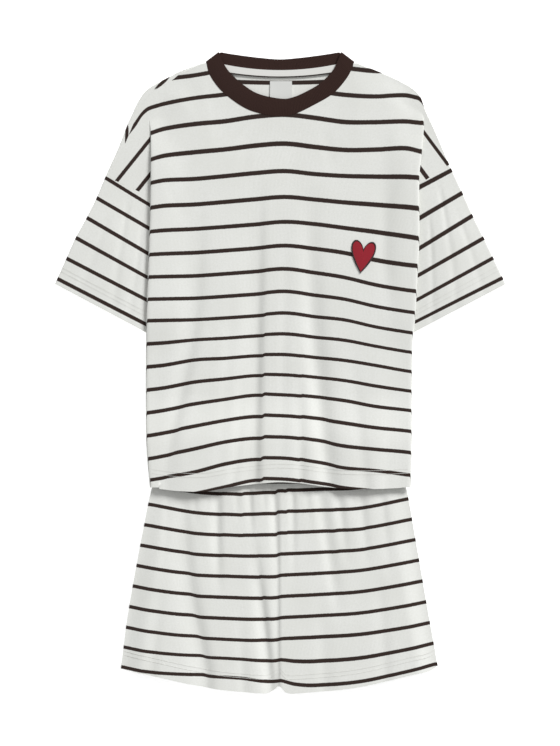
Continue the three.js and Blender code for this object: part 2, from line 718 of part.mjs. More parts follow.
function label() {
  const sheet = [LABEL.low, LABEL.top].map((y) => [LABEL.left, LABEL.right].map((x) => {
    return new THREE.Vector3(x, y, LABEL_HEIGHT);
  }));
  return wall("label", sheet, TRIM, MATERIALS.label);
}

// A plain heart of a common formula, sewn on with a slight lean. It lies on the chest's own
// surface, moved out.
function heart() {
  const clear = JERSEY / 2 + HEART.clear + MOTIF / 2;
  const angles = rows(HEART_STEPS).map((part) => part * 2 * Math.PI);
  const rises = angles.map((angle) => {
    return HEART_WAVES.reduce((sum, size, i) => sum + size * Math.cos((i + 1) * angle), 0);
  });
  const [low, high] = [Math.min(...rises), Math.max(...rises)];
  const outline = angles.map((angle, i) => {
    const x = (Math.sin(angle) ** 3 * HEART.width) / 2;
    const y = ((rises[i] - low) / (high - low) - 0.5) * HEART.height;
    return new THREE.Vector2(x, y).rotateAround(new THREE.Vector2(), HEART.lean);
  });
  const sheet = [0, 0.4, 0.75, 1].map((share) => outline.map((point) => {
    const x = HEART.x + point.x * share;
    const y = HEART.y + point.y * share;
    return new THREE.Vector3(x, y, chestHeight(x, y) + clear);
  }));
  return wall("heart", sheet, MOTIF, MATERIALS.heart);
}

// Half of the shorts between its outer seam and the centre: the front gathers, the back is flat
function shortsPanel(name, side, { columns, levels }, heightAt) {
  const out = sign[side];
  const centre = CENTRE_SEAM + (out * SLANT_GAP) / 2;
  const hem = along(SHORTS_HEM, "x", "y");
  const outseam = along(OUTSEAMS[side], "y", "x");
  const top = WAISTBAND.low - GAP;
  const low = OUTSEAMS[side].at(-1);
  const sheet = rows(levels).reverse().map((down) => rows(columns).map((part) => {
    const across = side === "left" ? part : 1 - part;
    const x = mix(outseam(mix(top, low.y, down)), centre, across);
    const y = mix(top, hem(mix(low.x, centre, across)), down);
    return new THREE.Vector3(x, y, heightAt(x, y, Math.abs(centre - outseam(y)) * across));
  }));
  return wall(name, sheet, JERSEY, MATERIALS.jersey);
}

function shortsHeight(x, y, fromEdge) {
  const loft = along(SHORTS_LOFT, "y", "height")(y);
  const fold = Math.max(loft - foldDepth(SHORTS_FOLDS, x, y), 0);
  return SECOND + fold * ease(fromEdge, 0, SHORTS_EDGE_BLEND);
}

// The elastic waistband is a flattened ring
function waistband() {
  const first = ELASTIC / 2;
  const second = first + ELASTIC + GAP;
  const turn = (second - first) / 2;
  const end = WAISTBAND.halfWidth - turn - ELASTIC / 2;
  const xs = rows(8).map((part) => mix(-end, end, part));
  const half = [
    ...xs.map((x) => ({ x, z: first })),
    { x: end + turn, z: first + turn },
    ...xs.map((x) => ({ x: -x, z: second })),
    { x: -end - turn, z: first + turn },
  ];
  const ring = [...half, half[0]];
  const sheet = [WAISTBAND.low, WAISTBAND.top].map((y) => ring.map(({ x, z }) => {
    return new THREE.Vector3(x, y, z);
  }));
  return wall("waistband", sheet, ELASTIC, MATERIALS.jersey);
}

const tee = new THREE.Group();
tee.add(teeFront(), teeBack(), sleeve("left"), sleeve("right"), neckRib(), neckTape(), label(), heart());

const shorts = new THREE.Group();
shorts.add(
  shortsPanel("shorts_front_left", "left", FRONT_PANEL, shortsHeight),
  shortsPanel("shorts_front_right", "right", FRONT_PANEL, shortsHeight),
  shortsPanel("shorts_back_left", "left", BACK_PANEL, () => FIRST),
  shortsPanel("shorts_back_right", "right", BACK_PANEL, () => FIRST),
  waistband(),
);

const set = new THREE.Group();
set.add(tee, shorts);

export default set;
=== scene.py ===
# %% [markdown]
# # A pyjama set laid flat
# A loose short-sleeved tee lies with its hem over the top of its shorts. Both are cut from one
# off-white jersey with thin dark stripes, and the tee has a dark ribbed collar and a small
# stitched heart. The solids of the frame say where every panel lies. This script lays a finer
# sheet of cloth on each of them, gives it its folds and stripes, and lights the set from above.

# %% Load the frame
import math

import bmesh
import bpy
import numpy as np
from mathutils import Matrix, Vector, noise


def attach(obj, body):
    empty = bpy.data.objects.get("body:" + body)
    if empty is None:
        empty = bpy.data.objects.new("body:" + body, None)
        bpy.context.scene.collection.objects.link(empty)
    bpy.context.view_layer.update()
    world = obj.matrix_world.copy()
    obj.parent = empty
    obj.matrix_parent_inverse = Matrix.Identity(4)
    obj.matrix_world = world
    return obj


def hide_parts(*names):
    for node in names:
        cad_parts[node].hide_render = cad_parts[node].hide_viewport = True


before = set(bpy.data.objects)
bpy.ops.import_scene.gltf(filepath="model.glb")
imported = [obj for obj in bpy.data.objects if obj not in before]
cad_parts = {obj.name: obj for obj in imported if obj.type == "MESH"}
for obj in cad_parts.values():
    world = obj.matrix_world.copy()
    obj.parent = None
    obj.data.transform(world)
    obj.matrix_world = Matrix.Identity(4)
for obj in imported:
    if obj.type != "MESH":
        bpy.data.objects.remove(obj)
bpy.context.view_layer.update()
print("frame nodes:", sorted(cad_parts))

# %% [markdown]
# ## Sizes
# Lengths are in millimetres, as a maker's pattern gives them, and become metres when a point is
# put in a mesh. The stripes' marks were measured on the photograph, whose pixels are 1.55 mm each,
# so `to_pixel` turns a place of the frame into the photograph's.

# %% Sizes and places
MM = 0.001
PIXEL = 1.55
PHOTO = {"width": 560, "height": 746, "origin_x": 280, "origin_y": 372.6}

JERSEY = 1.2
RIBBING = 1.8
ELASTIC = 2.4
TRIM = 1.0
MOTIF = 1.2
GAP = 0.3

FIRST = JERSEY / 2
SECOND = FIRST + JERSEY + GAP
ROLL = (SECOND - FIRST) / 2
RIB_BACK = RIBBING / 2
TAPE_HEIGHT = RIBBING + GAP + TRIM / 2
LABEL_HEIGHT = JERSEY + GAP + TRIM / 2
RIB_FRONT = TAPE_HEIGHT + TRIM / 2 + 2 * GAP + RIBBING / 2
SIGN = {"left": -1, "right": 1}


def to_pixel(x, y):
    return x / PIXEL + PHOTO["origin_x"], PHOTO["origin_y"] - y / PIXEL


# %% [markdown]
# ## Lines through a few points
# A pattern cutter draws a curve through a few marks. `along` does the same with a cubic line
# through (place, value) marks, and reads it at many places at once. `spline` runs
# through marks in the plane and gives evenly spaced points and directions, which a shoulder or a
# neckline needs because it turns back on itself.

# %% Curves
def mix(a, b, part):
    return a + (b - a) * part


def ease(value, low, high):
    part = np.clip((value - low) / (high - low), 0, 1)
    return part * part * (3 - 2 * part)


def along(marks, places, straight=False):
    x, y = np.array(sorted(marks), float).T
    at = np.clip(places, x[0], x[-1])
    i = np.clip(np.searchsorted(x, at, side="right") - 1, 0, len(x) - 2)
    step = x[i + 1] - x[i]
    t = (at - x[i]) / step
    if straight:
        return mix(y[i], y[i + 1], t)
    high = np.minimum(np.arange(len(x)) + 1, len(x) - 1)
    low = np.maximum(np.arange(len(x)) - 1, 0)
    slope = (y[high] - y[low]) / (x[high] - x[low])
    start = y[i] * (2 * t**3 - 3 * t**2 + 1) + slope[i] * step * (t**3 - 2 * t**2 + t)
    return start + y[i + 1] * (3 * t**2 - 2 * t**3) + slope[i + 1] * step * (t**3 - t**2)


def spline(marks, parts, fine=60):
    """Evenly spaced points and unit directions on a Catmull-Rom curve through the marks."""
    marks = np.array(marks, float)
    padded = np.vstack([marks[:1], marks, marks[-1:]])
    t = np.linspace(0, 1, fine, endpoint=False)[:, None]
    pieces = []
    for a, b, c, d in zip(padded, padded[1:], padded[2:], padded[3:]):
        pieces.append(
            0.5 * ((2 * b) + (c - a) * t + (2 * a - 5 * b + 4 * c - d) * t**2
                   + (3 * b - a - 3 * c + d) * t**3)
        )
    curve = np.vstack(pieces + [marks[-1:]])
    length = np.concatenate([[0], np.cumsum(np.linalg.norm(np.diff(curve, axis=0), axis=1))])
    want = np.asarray(parts) * length[-1]
    points = np.stack([np.interp(want, length, curve[:, i]) for i in (0, 1)], axis=1)
    ahead = np.stack([np.interp(want + 0.5, length, curve[:, i]) for i in (0, 1)], axis=1)
    behind = np.stack([np.interp(want - 0.5, length, curve[:, i]) for i in (0, 1)], axis=1)
    run = ahead - behind
    return points, run / np.linalg.norm(run, axis=1)[:, None]


# %% [markdown]
# ## The tee's outline
# The marks below are the seams and edges of the tee: the shoulders with the width that each
# shoulder seam is rolled forward, the armpits, the body's edges where the front rolls under, and
# the section of that roll. Above the armpit the roll is a pleat that opens towards the shoulder.

# %% Marks of the tee
SHOULDERS = {
    "left": [(-115.6, 481.9), (-154.5, 468.1), (-171.3, 459.1), (-194.1, 447.3), (-206, 439.4),
             (-213.9, 430.6), (-221.8, 416.6), (-235.6, 387), (-249.4, 351.4), (-270.5, 304.7)],
    "right": [(115.6, 481.9), (140.4, 472.1), (172.1, 459.1), (191.9, 449.3), (207.7, 439.4),
              (217.6, 428.6), (223.5, 412.8), (231.4, 394.9), (244.6, 366), (262.8, 322.7)],
}
SHOULDER_ROLL = {
    "left": [(304.7, 4), (351.4, 7), (387, 8), (439.4, 8.5), (459.1, 7), (468.1, 4), (481.9, 1.6)],
    "right": [(322.7, 1.6), (481.9, 1.6)],
}
ARMPITS = {"left": (-200.4, 272.2), "right": (214.5, 291.1)}
BODY_EDGES = {
    "left": [(-178, -200.5), (-137, -204.6), (-87, -207), (49, -207), (205, -202), (258, -200.4),
             (369, -200), (405, -204), (432, -202)],
    "right": [(-178, 202), (-112, 203.8), (50, 205.4), (81, 208.5), (130, 211.4), (210, 215.1),
              (302, 215.1), (345, 219.5), (389, 222.4), (428, 217)],
}
PLEATS = {
    "left": [(-178, 6, 2.4, 4.1, 10), (30, 6.4, 2.8, 4.1, 10), (85, 8.8, 5.4, 4.1, 12),
             (300, 8.6, 5.6, 4.1, 12), (335, 7.4, 5.2, 4.1, 8), (362, 5, 4.1, 3.3, 3),
             (378, 3.6, 3, 2.5, 0), (392, SECOND, SECOND, SECOND, 0)],
    "right": [(-178, 6, 2.4, 4.1, 10), (30, 6.4, 2.8, 4.1, 10), (85, 8.8, 5.4, 4.1, 12),
              (300, 9, 5.7, 4.1, 12), (345, 7.6, 5.3, 4.1, 8), (372, 5, 4.1, 3.3, 3),
              (388, 3.6, 3, 2.5, 0), (400, SECOND, SECOND, SECOND, 0)],
}
PLEAT_KEYS = ("edge", "under", "inner", "depth")
PLEAT_LEAD = 14
EDGE_BLEND = 62
LOFT = [(-178, 6.6), (60, 5.6), (250, 4.4), (380, 3), (440, 2.6)]
TEE_HEM = [(-202, -177.5), (-161.7, -182.6), (-114.7, -183.5), (-79, -177.3), (-26.4, -171.1),
           (-1.6, -169.3), (32.1, -171.1), (84.6, -178.1), (142.6, -179.8), (202, -177.5)]
HEM_CORNER = -177.5
BACK_HEM = -172
WAISTBAND = {"top": -121.5, "low": -157, "half_width": 185}
LIFT = 2 * ELASTIC + 2 * GAP
LIFT_ENDS = -30


def lift(y):
    """The tee rides up where it lies over the shorts' waistband."""
    return LIFT * (1 - ease(y, WAISTBAND["top"] + 5, LIFT_ENDS))


def body_edge(side, y):
    return along(BODY_EDGES[side], y)


def pleat(side, key, y):
    column = PLEAT_KEYS.index(key) + 1
    return along([(row[0], row[column]) for row in PLEATS[side]], y)


def return_x(side, y):
    return body_edge(side, y) - SIGN[side] * pleat(side, "depth", y)


def armhole(side):
    """The armhole seam runs straight from the shoulder to the return under the body's edge."""
    top = np.array(SHOULDERS[side][-1])
    armpit = np.array(ARMPITS[side])
    down = (armpit - top) / np.linalg.norm(armpit - top)
    low = top + down * ((return_x(side, armpit[1]) - top[0]) / down[0])
    return top, low, down


def shoulder_line(side, parts):
    """Points along a shoulder, the direction inwards, and how far its seam is rolled forward."""
    places, run = spline(SHOULDERS[side], parts)
    inward = np.stack([run[:, 1], -run[:, 0]], axis=1) * SIGN[side]
    return places, inward, along(SHOULDER_ROLL[side], places[:, 1])


# %% [markdown]
# ## Folds
# Laid cloth never lies quite flat: it keeps long soft hollows where it hung, and short ones where
# it is pulled by a seam or an elastic. Each row below is one hollow with three marks of place and
# depth, and the width of its two flanks, which differ because a fold leans. The first rows are
# the large folds that the solids have too, and the finer ones follow. A slow noise adds the
# unevenness between them.

# %% Folds of the tee
TEE_FOLDS = [
    {"marks": [(-123, 300, 0), (-136, 66, 2.8), (-186, -158, 4.6)], "flanks": (20, 12)},
    {"marks": [(-30, 310, 0), (-35, 66, 4.2), (-39, -175, 4.8)], "flanks": (27, 8)},
    {"marks": [(44, 290, 0), (52, 66, 3.6), (75, -175, 4.6)], "flanks": (13, 16)},
    {"marks": [(174, 350, 0), (164, 190, 1.5), (186, 30, 0)], "flanks": (12, 12)},
    {"marks": [(30, 10, 0), (32, -90, 1.2), (33, -175, 2)], "flanks": (9, 7)},
]
TEE_CREASES = [
    {"marks": [(-186, 330, 0), (-176, 290, 0.9), (-150, 235, 0)], "flanks": (7, 9)},
    {"marks": [(-188, 240, 0), (-180, 170, 0.8), (-184, 90, 0)], "flanks": (8, 6)},
    {"marks": [(196, 345, 0), (186, 300, 0.9), (160, 250, 0)], "flanks": (8, 8)},
    {"marks": [(-75, 180, 0), (-80, 20, 0.9), (-92, -120, 0.5)], "flanks": (9, 12)},
    {"marks": [(112, 60, 0), (120, -60, 0.9), (133, -176, 1.4)], "flanks": (12, 9)},
    {"marks": [(168, 10, 0), (172, -80, 0.8), (166, -176, 1.2)], "flanks": (8, 11)},
    {"marks": [(8, 240, 0), (6, 60, 0.7), (2, -110, 0.4)], "flanks": (7, 9)},
    {"marks": [(-60, 40, 0), (-62, -70, 0.8), (-72, -176, 1.2)], "flanks": (9, 7)},
    {"marks": [(-40, 392, 0), (-48, 360, 0.6), (-58, 300, 0)], "flanks": (10, 8)},
    {"marks": [(60, 398, 0), (72, 355, 0.6), (82, 300, 0)], "flanks": (8, 10)},
]
TEE_NOISE = {"height": 0.35, "size": 46, "seed": 3}
NOISE_STRETCH = 2.2
FOLD_RUNS_ON = 30


def hollows(table, x, y):
    """How deep the folds of a table are at each place."""
    depth = np.zeros_like(x)
    for fold in table:
        line_x = [(mark[1], mark[0]) for mark in fold["marks"]]
        line_depth = [(mark[1], mark[2]) for mark in fold["marks"]]
        off = x - along(line_x, y)
        flank = np.where(off < 0, *fold["flanks"])
        reach = np.where(y > fold["marks"][0][1], 0, along(line_depth, y))
        reach = np.where(y < fold["marks"][2][1] - FOLD_RUNS_ON, 0, reach)
        depth += reach * np.exp(-((off / flank) ** 2))
    return depth


def ripple(x, y, rule):
    """A slow unevenness of the cloth, the same on each run."""
    spots = np.stack([x.ravel() / rule["size"], y.ravel() / (rule["size"] * NOISE_STRETCH)], axis=1)
    values = [noise.noise(Vector((a, b, rule["seed"]))) for a, b in spots]
    return rule["height"] * np.array(values).reshape(x.shape)


def chest_height(x, y):
    edge_x = np.where(x < 0, -body_edge("left", y), body_edge("right", y))
    from_edge = edge_x - np.abs(x)
    loft = along(LOFT, y) - hollows(TEE_FOLDS, x, y)
    fine = ripple(x, y, TEE_NOISE) - hollows(TEE_CREASES, x, y)
    body = SECOND + np.maximum(np.maximum(loft, GAP) + fine, GAP)
    edge = np.where(x < 0, pleat("left", "edge", y), pleat("right", "edge", y))
    return lift(y) + mix(edge, body, ease(from_edge, PLEAT_LEAD, EDGE_BLEND))


# %% [markdown]
# ## Stripes
# The stripes are knitted into the cloth, so they rise and sag with every fold. Each piece gets a
# second pair of coordinates, `cut`: millimetres across the cloth, and the number of the stripe,
# which counts from the collar down. A stripe lies wherever that number is whole. On the chest its
# height at the middle and how far it hangs lower at each side are read from these few marks.

# %% Stripe numbers
TEE_STRIPES = {
    "middle": [(0, 62), (1, 88), (2, 114.8), (3, 143.8), (4, 171.3), (6, 222), (9, 291.5),
               (12, 354.7), (15, 416), (18, 478.6), (20, 520)],
    "across": (130, 150, 165, 195, 225, 255, 285, 315, 345, 375, 405, 420),
    "sag": [
        (0, (35, 24, 17.5, 13.5, 8, 2, 0, 2.5, 6, 9, 8, 10)),
        (1, (30, 20, 15.5, 10, 6.5, 2, 0, 3, 7, 8.6, 7.2, 10.4)),
        (2, (25, 18.7, 13.9, 9.4, 6.6, 2, 0, 3.2, 7.4, 7.6, 6.8, 8)),
        (3, (22, 16.4, 12.2, 8.6, 5.8, 2, 0, 3.4, 6.4, 6, 4.6, 8)),
        (4, (15, 12, 9.2, 7.8, 5, 2, 0, 3, 4.8, 5.4, 5.8, 6.6)),
        (6, (12, 10, 8.6, 7.1, 5, 2.6, 0, 2.2, 6.2, 10, 14.5, 17)),
        (7, (10.5, 9.1, 8.2, 7, 5, 2.6, 0, 3.1, 7.4, 14.4, 19.2, 20.7)),
        (8, (9, 8.2, 7.8, 7, 5, 2.6, 0, 3.9, 8.8, 16, 21.2, 23)),
        (10, (8, 7.6, 7.3, 6.7, 5, 2.8, 0, 3.7, 7, 13.8, 18.8, 21)),
        (12, (14, 12, 10.4, 5.2, 3.6, 1, 0, 2.8, 5.8, 10.6, 16, 18)),
        (14, (20, 17, 14.6, 8.4, 3.8, -0.6, -0.6, 1.3, 5, 10.8, 14.3, 16.2)),
        (16, (23.3, 21.6, 18.6, 11.8, 5, 1.1, 0.3, 3.2, 9.1, 12.3, 14.9, 17.2)),
        (17, (25, 22, 19.4, 14, 6, 1.2, 0.2, 3.9, 9.9, 12.6, 16.6, 19)),
        (18, (25, 22, 19.4, 14.5, 8, 1.1, 0.2, 3.6, 8.6, 12, 16.6, 19)),
    ],
    "steps": [
        {"marks": [(266, 250, 0), (263.5, 400, 1.7), (262, 484, 2)], "reach": 9, "soft": 0.6},
        {"marks": [(301, 330, 0), (301, 400, 0.8), (300, 484, 1)], "reach": 6, "soft": 0.6},
        {"marks": [(188, 380, 0), (179, 430, 1.5), (166, 478, 1)], "reach": 8, "soft": 4},
        {"marks": [(322, 380, 0), (328, 430, -1.2), (336, 478, -1)], "reach": 8, "soft": 5},
    ],
}
SHORTS_STRIPES = {
    "middle": [(-3, 428), (0, 491), (3, 554.2), (6, 617.3), (9, 680.2), (10, 701)],
    "across": (120, 150, 195, 240, 268, 278, 281, 295, 315, 360, 405, 435),
    "sag": [
        (0, (-10, -7.5, 0.9, 3, 1.2, 0.6, 0, -0.7, -1.6, -3.5, -12.5, -18)),
        (4, (-13, -7.4, -0.9, 1.2, 1.5, 0.9, 0, -0.9, -1.9, -5, -12.6, -18)),
        (7, (-12, -6.8, -1.6, 1.5, 1.8, 1.2, 0.2, -0.6, -1.6, -4.4, -11, -16.5)),
        (9, (-13.5, -8.5, -5.6, -2.5, 1.2, 0.6, 0, 3.6, 4.8, 1, -8.5, -16)),
    ],
    "steps": [
        {"marks": [(276.5, 488, 2.2), (277, 530, 1.6), (278, 590, 0)], "reach": 6, "soft": 0.8},
        {"marks": [(287, 488, 1.2), (287, 520, 1), (288, 550, 0)], "reach": 5, "soft": 0.8},
        {"marks": [(243, 488, 1.3), (243, 515, 0.9), (243, 550, 0)], "reach": 6, "soft": 1.5},
        {"marks": [(222, 488, 0.8), (222, 540, 1), (222, 610, 0)], "reach": 7, "soft": 3},
        {"marks": [(188, 520, 0), (195, 610, -2.4), (206, 665, -2.4)], "reach": 9, "soft": 5},
        {"marks": [(256, 545, 0), (263, 600, 1.2), (270, 640, 0)], "reach": 6, "soft": 1},
        {"marks": [(332, 495, 0), (336, 530, 1), (341, 600, 0)], "reach": 8, "soft": 3},
        {"marks": [(364, 500, 0), (366, 530, 1), (369, 570, 0)], "reach": 8, "soft": 4},
    ],
}


ABOVE_FIRST = {"height": 60, "count": 2.2}
GUESSES = 4


def stripe_step(rule, px, py):
    """How much lower a stripe lies to the left of a crease that hides some cloth, in pixels."""
    shift = np.zeros_like(px)
    for step in rule["steps"]:
        line_x = [(mark[1], mark[0]) for mark in step["marks"]]
        size = along([(mark[1], mark[2]) for mark in step["marks"]], py)
        off = px - along(line_x, py)
        shift -= size / 2 * np.tanh(off / step["soft"]) * np.exp(-np.abs(off) / step["reach"])
    return shift


def stripe_number(rule, x, y):
    """The stripe's number at each place, found by correcting a first guess for its sag."""
    px, py = to_pixel(x, y)
    py = py - stripe_step(rule, px, py)
    by_height = [(height, count) for count, height in rule["middle"]]
    above = (by_height[0][0] - ABOVE_FIRST["height"], by_height[0][1] - ABOVE_FIRST["count"])
    by_height = [above, *by_height]
    number = along(by_height, py)
    sags = np.array([row for _, row in rule["sag"]], float)
    levels = [level for level, _ in rule["sag"]]
    columns = [along(list(zip(rule["across"], row)), px) for row in sags]
    for _ in range(GUESSES):
        sag = np.zeros_like(px)
        place = np.clip(number, levels[0], levels[-1])
        for i in range(len(levels) - 1):
            part = (place - levels[i]) / (levels[i + 1] - levels[i])
            inside = (part >= 0) & (part <= 1)
            sag = np.where(inside, mix(columns[i], columns[i + 1], part), sag)
        number = along(by_height, py - sag)
    return number


# %% [markdown]
# ## Laying a sheet
# Every piece starts as a flat grid of bmesh's own, and `lay` moves each of its points to its
# place on the garment. A grid keeps the rows and columns of the knit, which the stripes need,
# where a triangulated copy of the solid would not. Points that coincide
# are merged, so a row may narrow to nothing and a tube may close. The Solidify modifier then
# gives the sheet the same wall as its solid. Open edges are marked sharp, or else the wall's
# narrow rim would tilt the shading of the last row.

# %% Lay a sheet of cloth
def lay(name, place, rows, columns, wall, material, slot, outwards=False):
    mesh = bpy.data.meshes.new(name)
    bm = bmesh.new()
    bmesh.ops.create_grid(bm, x_segments=columns, y_segments=rows, size=0.5)
    across, up = np.meshgrid(np.linspace(0, 1, columns + 1), np.linspace(0, 1, rows + 1))
    x, y, z, cut_x, cut_y = place(across, up)
    spots = {}
    for vert in bm.verts:
        i = round((vert.co.x + 0.5) * columns)
        j = round((vert.co.y + 0.5) * rows)
        spots[vert] = (j, i)
        vert.co = Vector((x[j, i], y[j, i], z[j, i])) * MM
    layer = bm.loops.layers.uv.new("cut")
    for face in bm.faces:
        for loop in face.loops:
            loop[layer].uv = (cut_x[spots[loop.vert]], cut_y[spots[loop.vert]])
    bmesh.ops.remove_doubles(bm, verts=bm.verts, dist=0.00002)
    if outwards:
        bmesh.ops.recalc_face_normals(bm, faces=bm.faces)
    for face in bm.faces:
        face.smooth = True
    for edge in bm.edges:
        edge.smooth = not edge.is_boundary
    bm.to_mesh(mesh)
    bm.free()
    piece = bpy.data.objects.new(name, mesh)
    bpy.context.scene.collection.objects.link(piece)
    mesh.materials.append(material)
    solid = piece.modifiers.new("wall", "SOLIDIFY")
    solid.thickness = wall * MM
    solid.offset = 0
    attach(piece, "root")
    area = sum(face.area for face in mesh.polygons)
    print(f"{name}: {len(mesh.polygons)} faces before its wall, {area:.4f} square metres")
    return piece


def row_lengths(x, y, z):
    """Millimetres along each row, counted from its middle."""
    step = np.sqrt(np.diff(x, axis=1) ** 2 + np.diff(y, axis=1) ** 2 + np.diff(z, axis=1) ** 2)
    run = np.concatenate([np.zeros((len(x), 1)), np.cumsum(step, axis=1)], axis=1)
    return run - run[:, run.shape[1] // 2][:, None]


# %% [markdown]
# ## Nodes and colours
# Colours are given as sRGB hex, as a dyer's card gives them, and turned to linear light by one
# function. One small function adds a node with its settings and its links.

# %% Helpers for materials
def linear(hex_colour):
    values = [int(hex_colour[i:i + 2], 16) / 255 for i in (1, 3, 5)]
    return [v / 12.92 if v <= 0.04045 else ((v + 0.055) / 1.055) ** 2.4 for v in values] + [1]


def add(tree, kind, inputs, **settings):
    node = tree.nodes.new(kind)
    for key, value in settings.items():
        setattr(node, key, value)
    for socket, value in inputs.items():
        target = node.inputs[socket]
        if isinstance(value, bpy.types.NodeSocket):
            tree.links.new(value, target)
        else:
            target.default_value = value
    return node


def new_material(name, roughness, sheen):
    material = bpy.data.materials.new(name)
    material.use_nodes = True
    tree = material.node_tree
    shader = tree.nodes["Principled BSDF"]
    shader.inputs["Roughness"].default_value = roughness
    shader.inputs["Sheen Weight"].default_value = sheen
    shader.inputs["Sheen Roughness"].default_value = 0.6
    shader.inputs["Specular IOR Level"].default_value = 0.2
    return material, tree, shader


# %% [markdown]
# ## Striped single jersey
# Cotton jersey is knitted, so its face is columns of small loops, matt, with a faint bloom from
# loose fibres. The stripe is two courses of darker yarn, with edges a little ragged from the
# loops. Real loops are under a millimetre, too fine to show, so the columns are drawn about two
# millimetres apart. The mask is worked out from the stripe number, so it bends with the cloth.

# %% Jersey
CLOTH = {"light": "#EAEBE7", "shade": "#E4E5E0", "stripe": "#2C1D17"}
STRIPE_SHARE = 0.174
RAGGED = 0.015
WALE = 2.1


def make_jersey():
    material, tree, shader = new_material("single_jersey", 0.92, 0.15)
    cut = add(tree, "ShaderNodeUVMap", {}, uv_map="cut").outputs["UV"]
    parts = add(tree, "ShaderNodeSeparateXYZ", {"Vector": cut}).outputs
    space = add(tree, "ShaderNodeTexCoord", {}).outputs["Object"]

    ragged = add(tree, "ShaderNodeTexNoise", {"Vector": space, "Scale": 900, "Detail": 2})
    shift = add(tree, "ShaderNodeMath", {0: ragged.outputs["Fac"], 1: 2 * RAGGED, 2: -RAGGED},
                operation="MULTIPLY_ADD")
    number = add(tree, "ShaderNodeMath", {0: parts["Y"], 1: shift.outputs[0]}, operation="ADD")
    from_half = add(tree, "ShaderNodeMath", {0: number.outputs[0], 1: 0.5}, operation="PINGPONG")
    mask = add(tree, "ShaderNodeMapRange", {
        "Value": from_half.outputs[0],
        "From Min": STRIPE_SHARE / 2 - RAGGED,
        "From Max": STRIPE_SHARE / 2 + RAGGED,
        "To Min": 1,
        "To Max": 0,
    }, interpolation_type="SMOOTHSTEP")

    cloudy = add(tree, "ShaderNodeTexNoise", {"Vector": space, "Scale": 14, "Detail": 4})
    grain = add(tree, "ShaderNodeTexNoise", {"Vector": space, "Scale": 420, "Detail": 2})
    shade = add(tree, "ShaderNodeMath", {0: cloudy.outputs["Fac"], 1: grain.outputs["Fac"]},
                operation="MULTIPLY")
    spread = add(tree, "ShaderNodeMapRange", {"Value": shade.outputs[0], "From Min": 0.15,
                                              "From Max": 0.38})
    ground = add(tree, "ShaderNodeMix", {"Factor": spread.outputs[0], 6: linear(CLOTH["shade"]),
                                         7: linear(CLOTH["light"])}, data_type="RGBA")
    colour = add(tree, "ShaderNodeMix", {"Factor": mask.outputs[0], 6: ground.outputs[2],
                                         7: linear(CLOTH["stripe"])}, data_type="RGBA")
    tree.links.new(colour.outputs[2], shader.inputs["Base Color"])

    wales = add(tree, "ShaderNodeMath", {0: parts["X"], 1: math.pi / WALE}, operation="MULTIPLY")
    wave = add(tree, "ShaderNodeMath", {0: wales.outputs[0]}, operation="SINE")
    height = add(tree, "ShaderNodeMath", {0: wave.outputs[0], 1: wave.outputs[0]},
                 operation="MULTIPLY")
    rough = add(tree, "ShaderNodeMath", {0: grain.outputs["Fac"], 1: 1.4, 2: height.outputs[0]},
                operation="MULTIPLY_ADD")
    bump = add(tree, "ShaderNodeBump", {"Height": rough.outputs[0], "Strength": 0.15,
                                        "Distance": 0.0004})
    tree.links.new(bump.outputs["Normal"], shader.inputs["Normal"])
    return material


jersey = make_jersey()

# %% [markdown]
# ## Front of the tee
# The front is one panel with its two drop shoulders. Its rows run across, from one drop shoulder
# through the pleat, over the chest and out to the other side. The pleat's section is a polygon of
# six corners whose corners are cut three times, which rounds the fold without letting the wall
# cross itself. Columns slide towards the neckline near the top, so the last row is the seam.

# %% Front of the tee
STITCH = 0.01
SHOULDER_SHARE = 0.2
CHEST_FOLLOWS = {"across": (250, 1), "up": (120, 60), "height": (320, 12)}
CHEST_SIDES = 0.5
ARMPIT_SETTLES = (12, 1)
HEM_FADES = -40
NECK_RISES_BY = 0.7
PLEAT_TURN = (0.25, 0.62)
FRONT_ROWS = (118, 12, 46)
CHEST_COLUMNS = 104
CUTS = 3


def cut_corners(points, times):
    for _ in range(times):
        first, second = points[:, :-1], points[:, 1:]
        quarter = np.stack([mix(first, second, 0.25), mix(first, second, 0.75)], axis=2)
        quarter = quarter.reshape(len(points), -1, points.shape[2])
        points = np.concatenate([points[:, :1], quarter, points[:, -1:]], axis=1)
    return points


def wing(side):
    """Outer limit of the drop shoulder by height, and where the pleat starts under the shoulder."""
    top, low, down = armhole(side)
    places, inward, roll = shoulder_line(side, np.linspace(0, 1, 41))
    inset = places + inward * (roll + 2 * STITCH)[:, None]
    at_seam = top + down * (roll[-1] + 2 * STITCH)
    above = [tuple(point) for point in inset if point[1] > at_seam[1] + 2]
    outer = [(y, x) for x, y in [*above, tuple(at_seam), tuple(low)]]
    corner_x = body_edge(side, BODY_EDGES[side][-1][0])
    corner = (corner_x, float(along(above, corner_x, True)))
    return {"low": low, "at_seam": at_seam, "outer": outer, "line": above, "corner": corner}


WINGS = {side: wing(side) for side in SIGN}


def levels_of(side):
    shape = WINGS[side]
    stops = (HEM_CORNER, shape["low"][1], shape["at_seam"][1], shape["corner"][1])
    spans = [np.linspace(a, b, n, endpoint=False) for a, b, n in zip(stops, stops[1:], FRONT_ROWS)]
    return np.concatenate([*spans, [stops[-1]]])


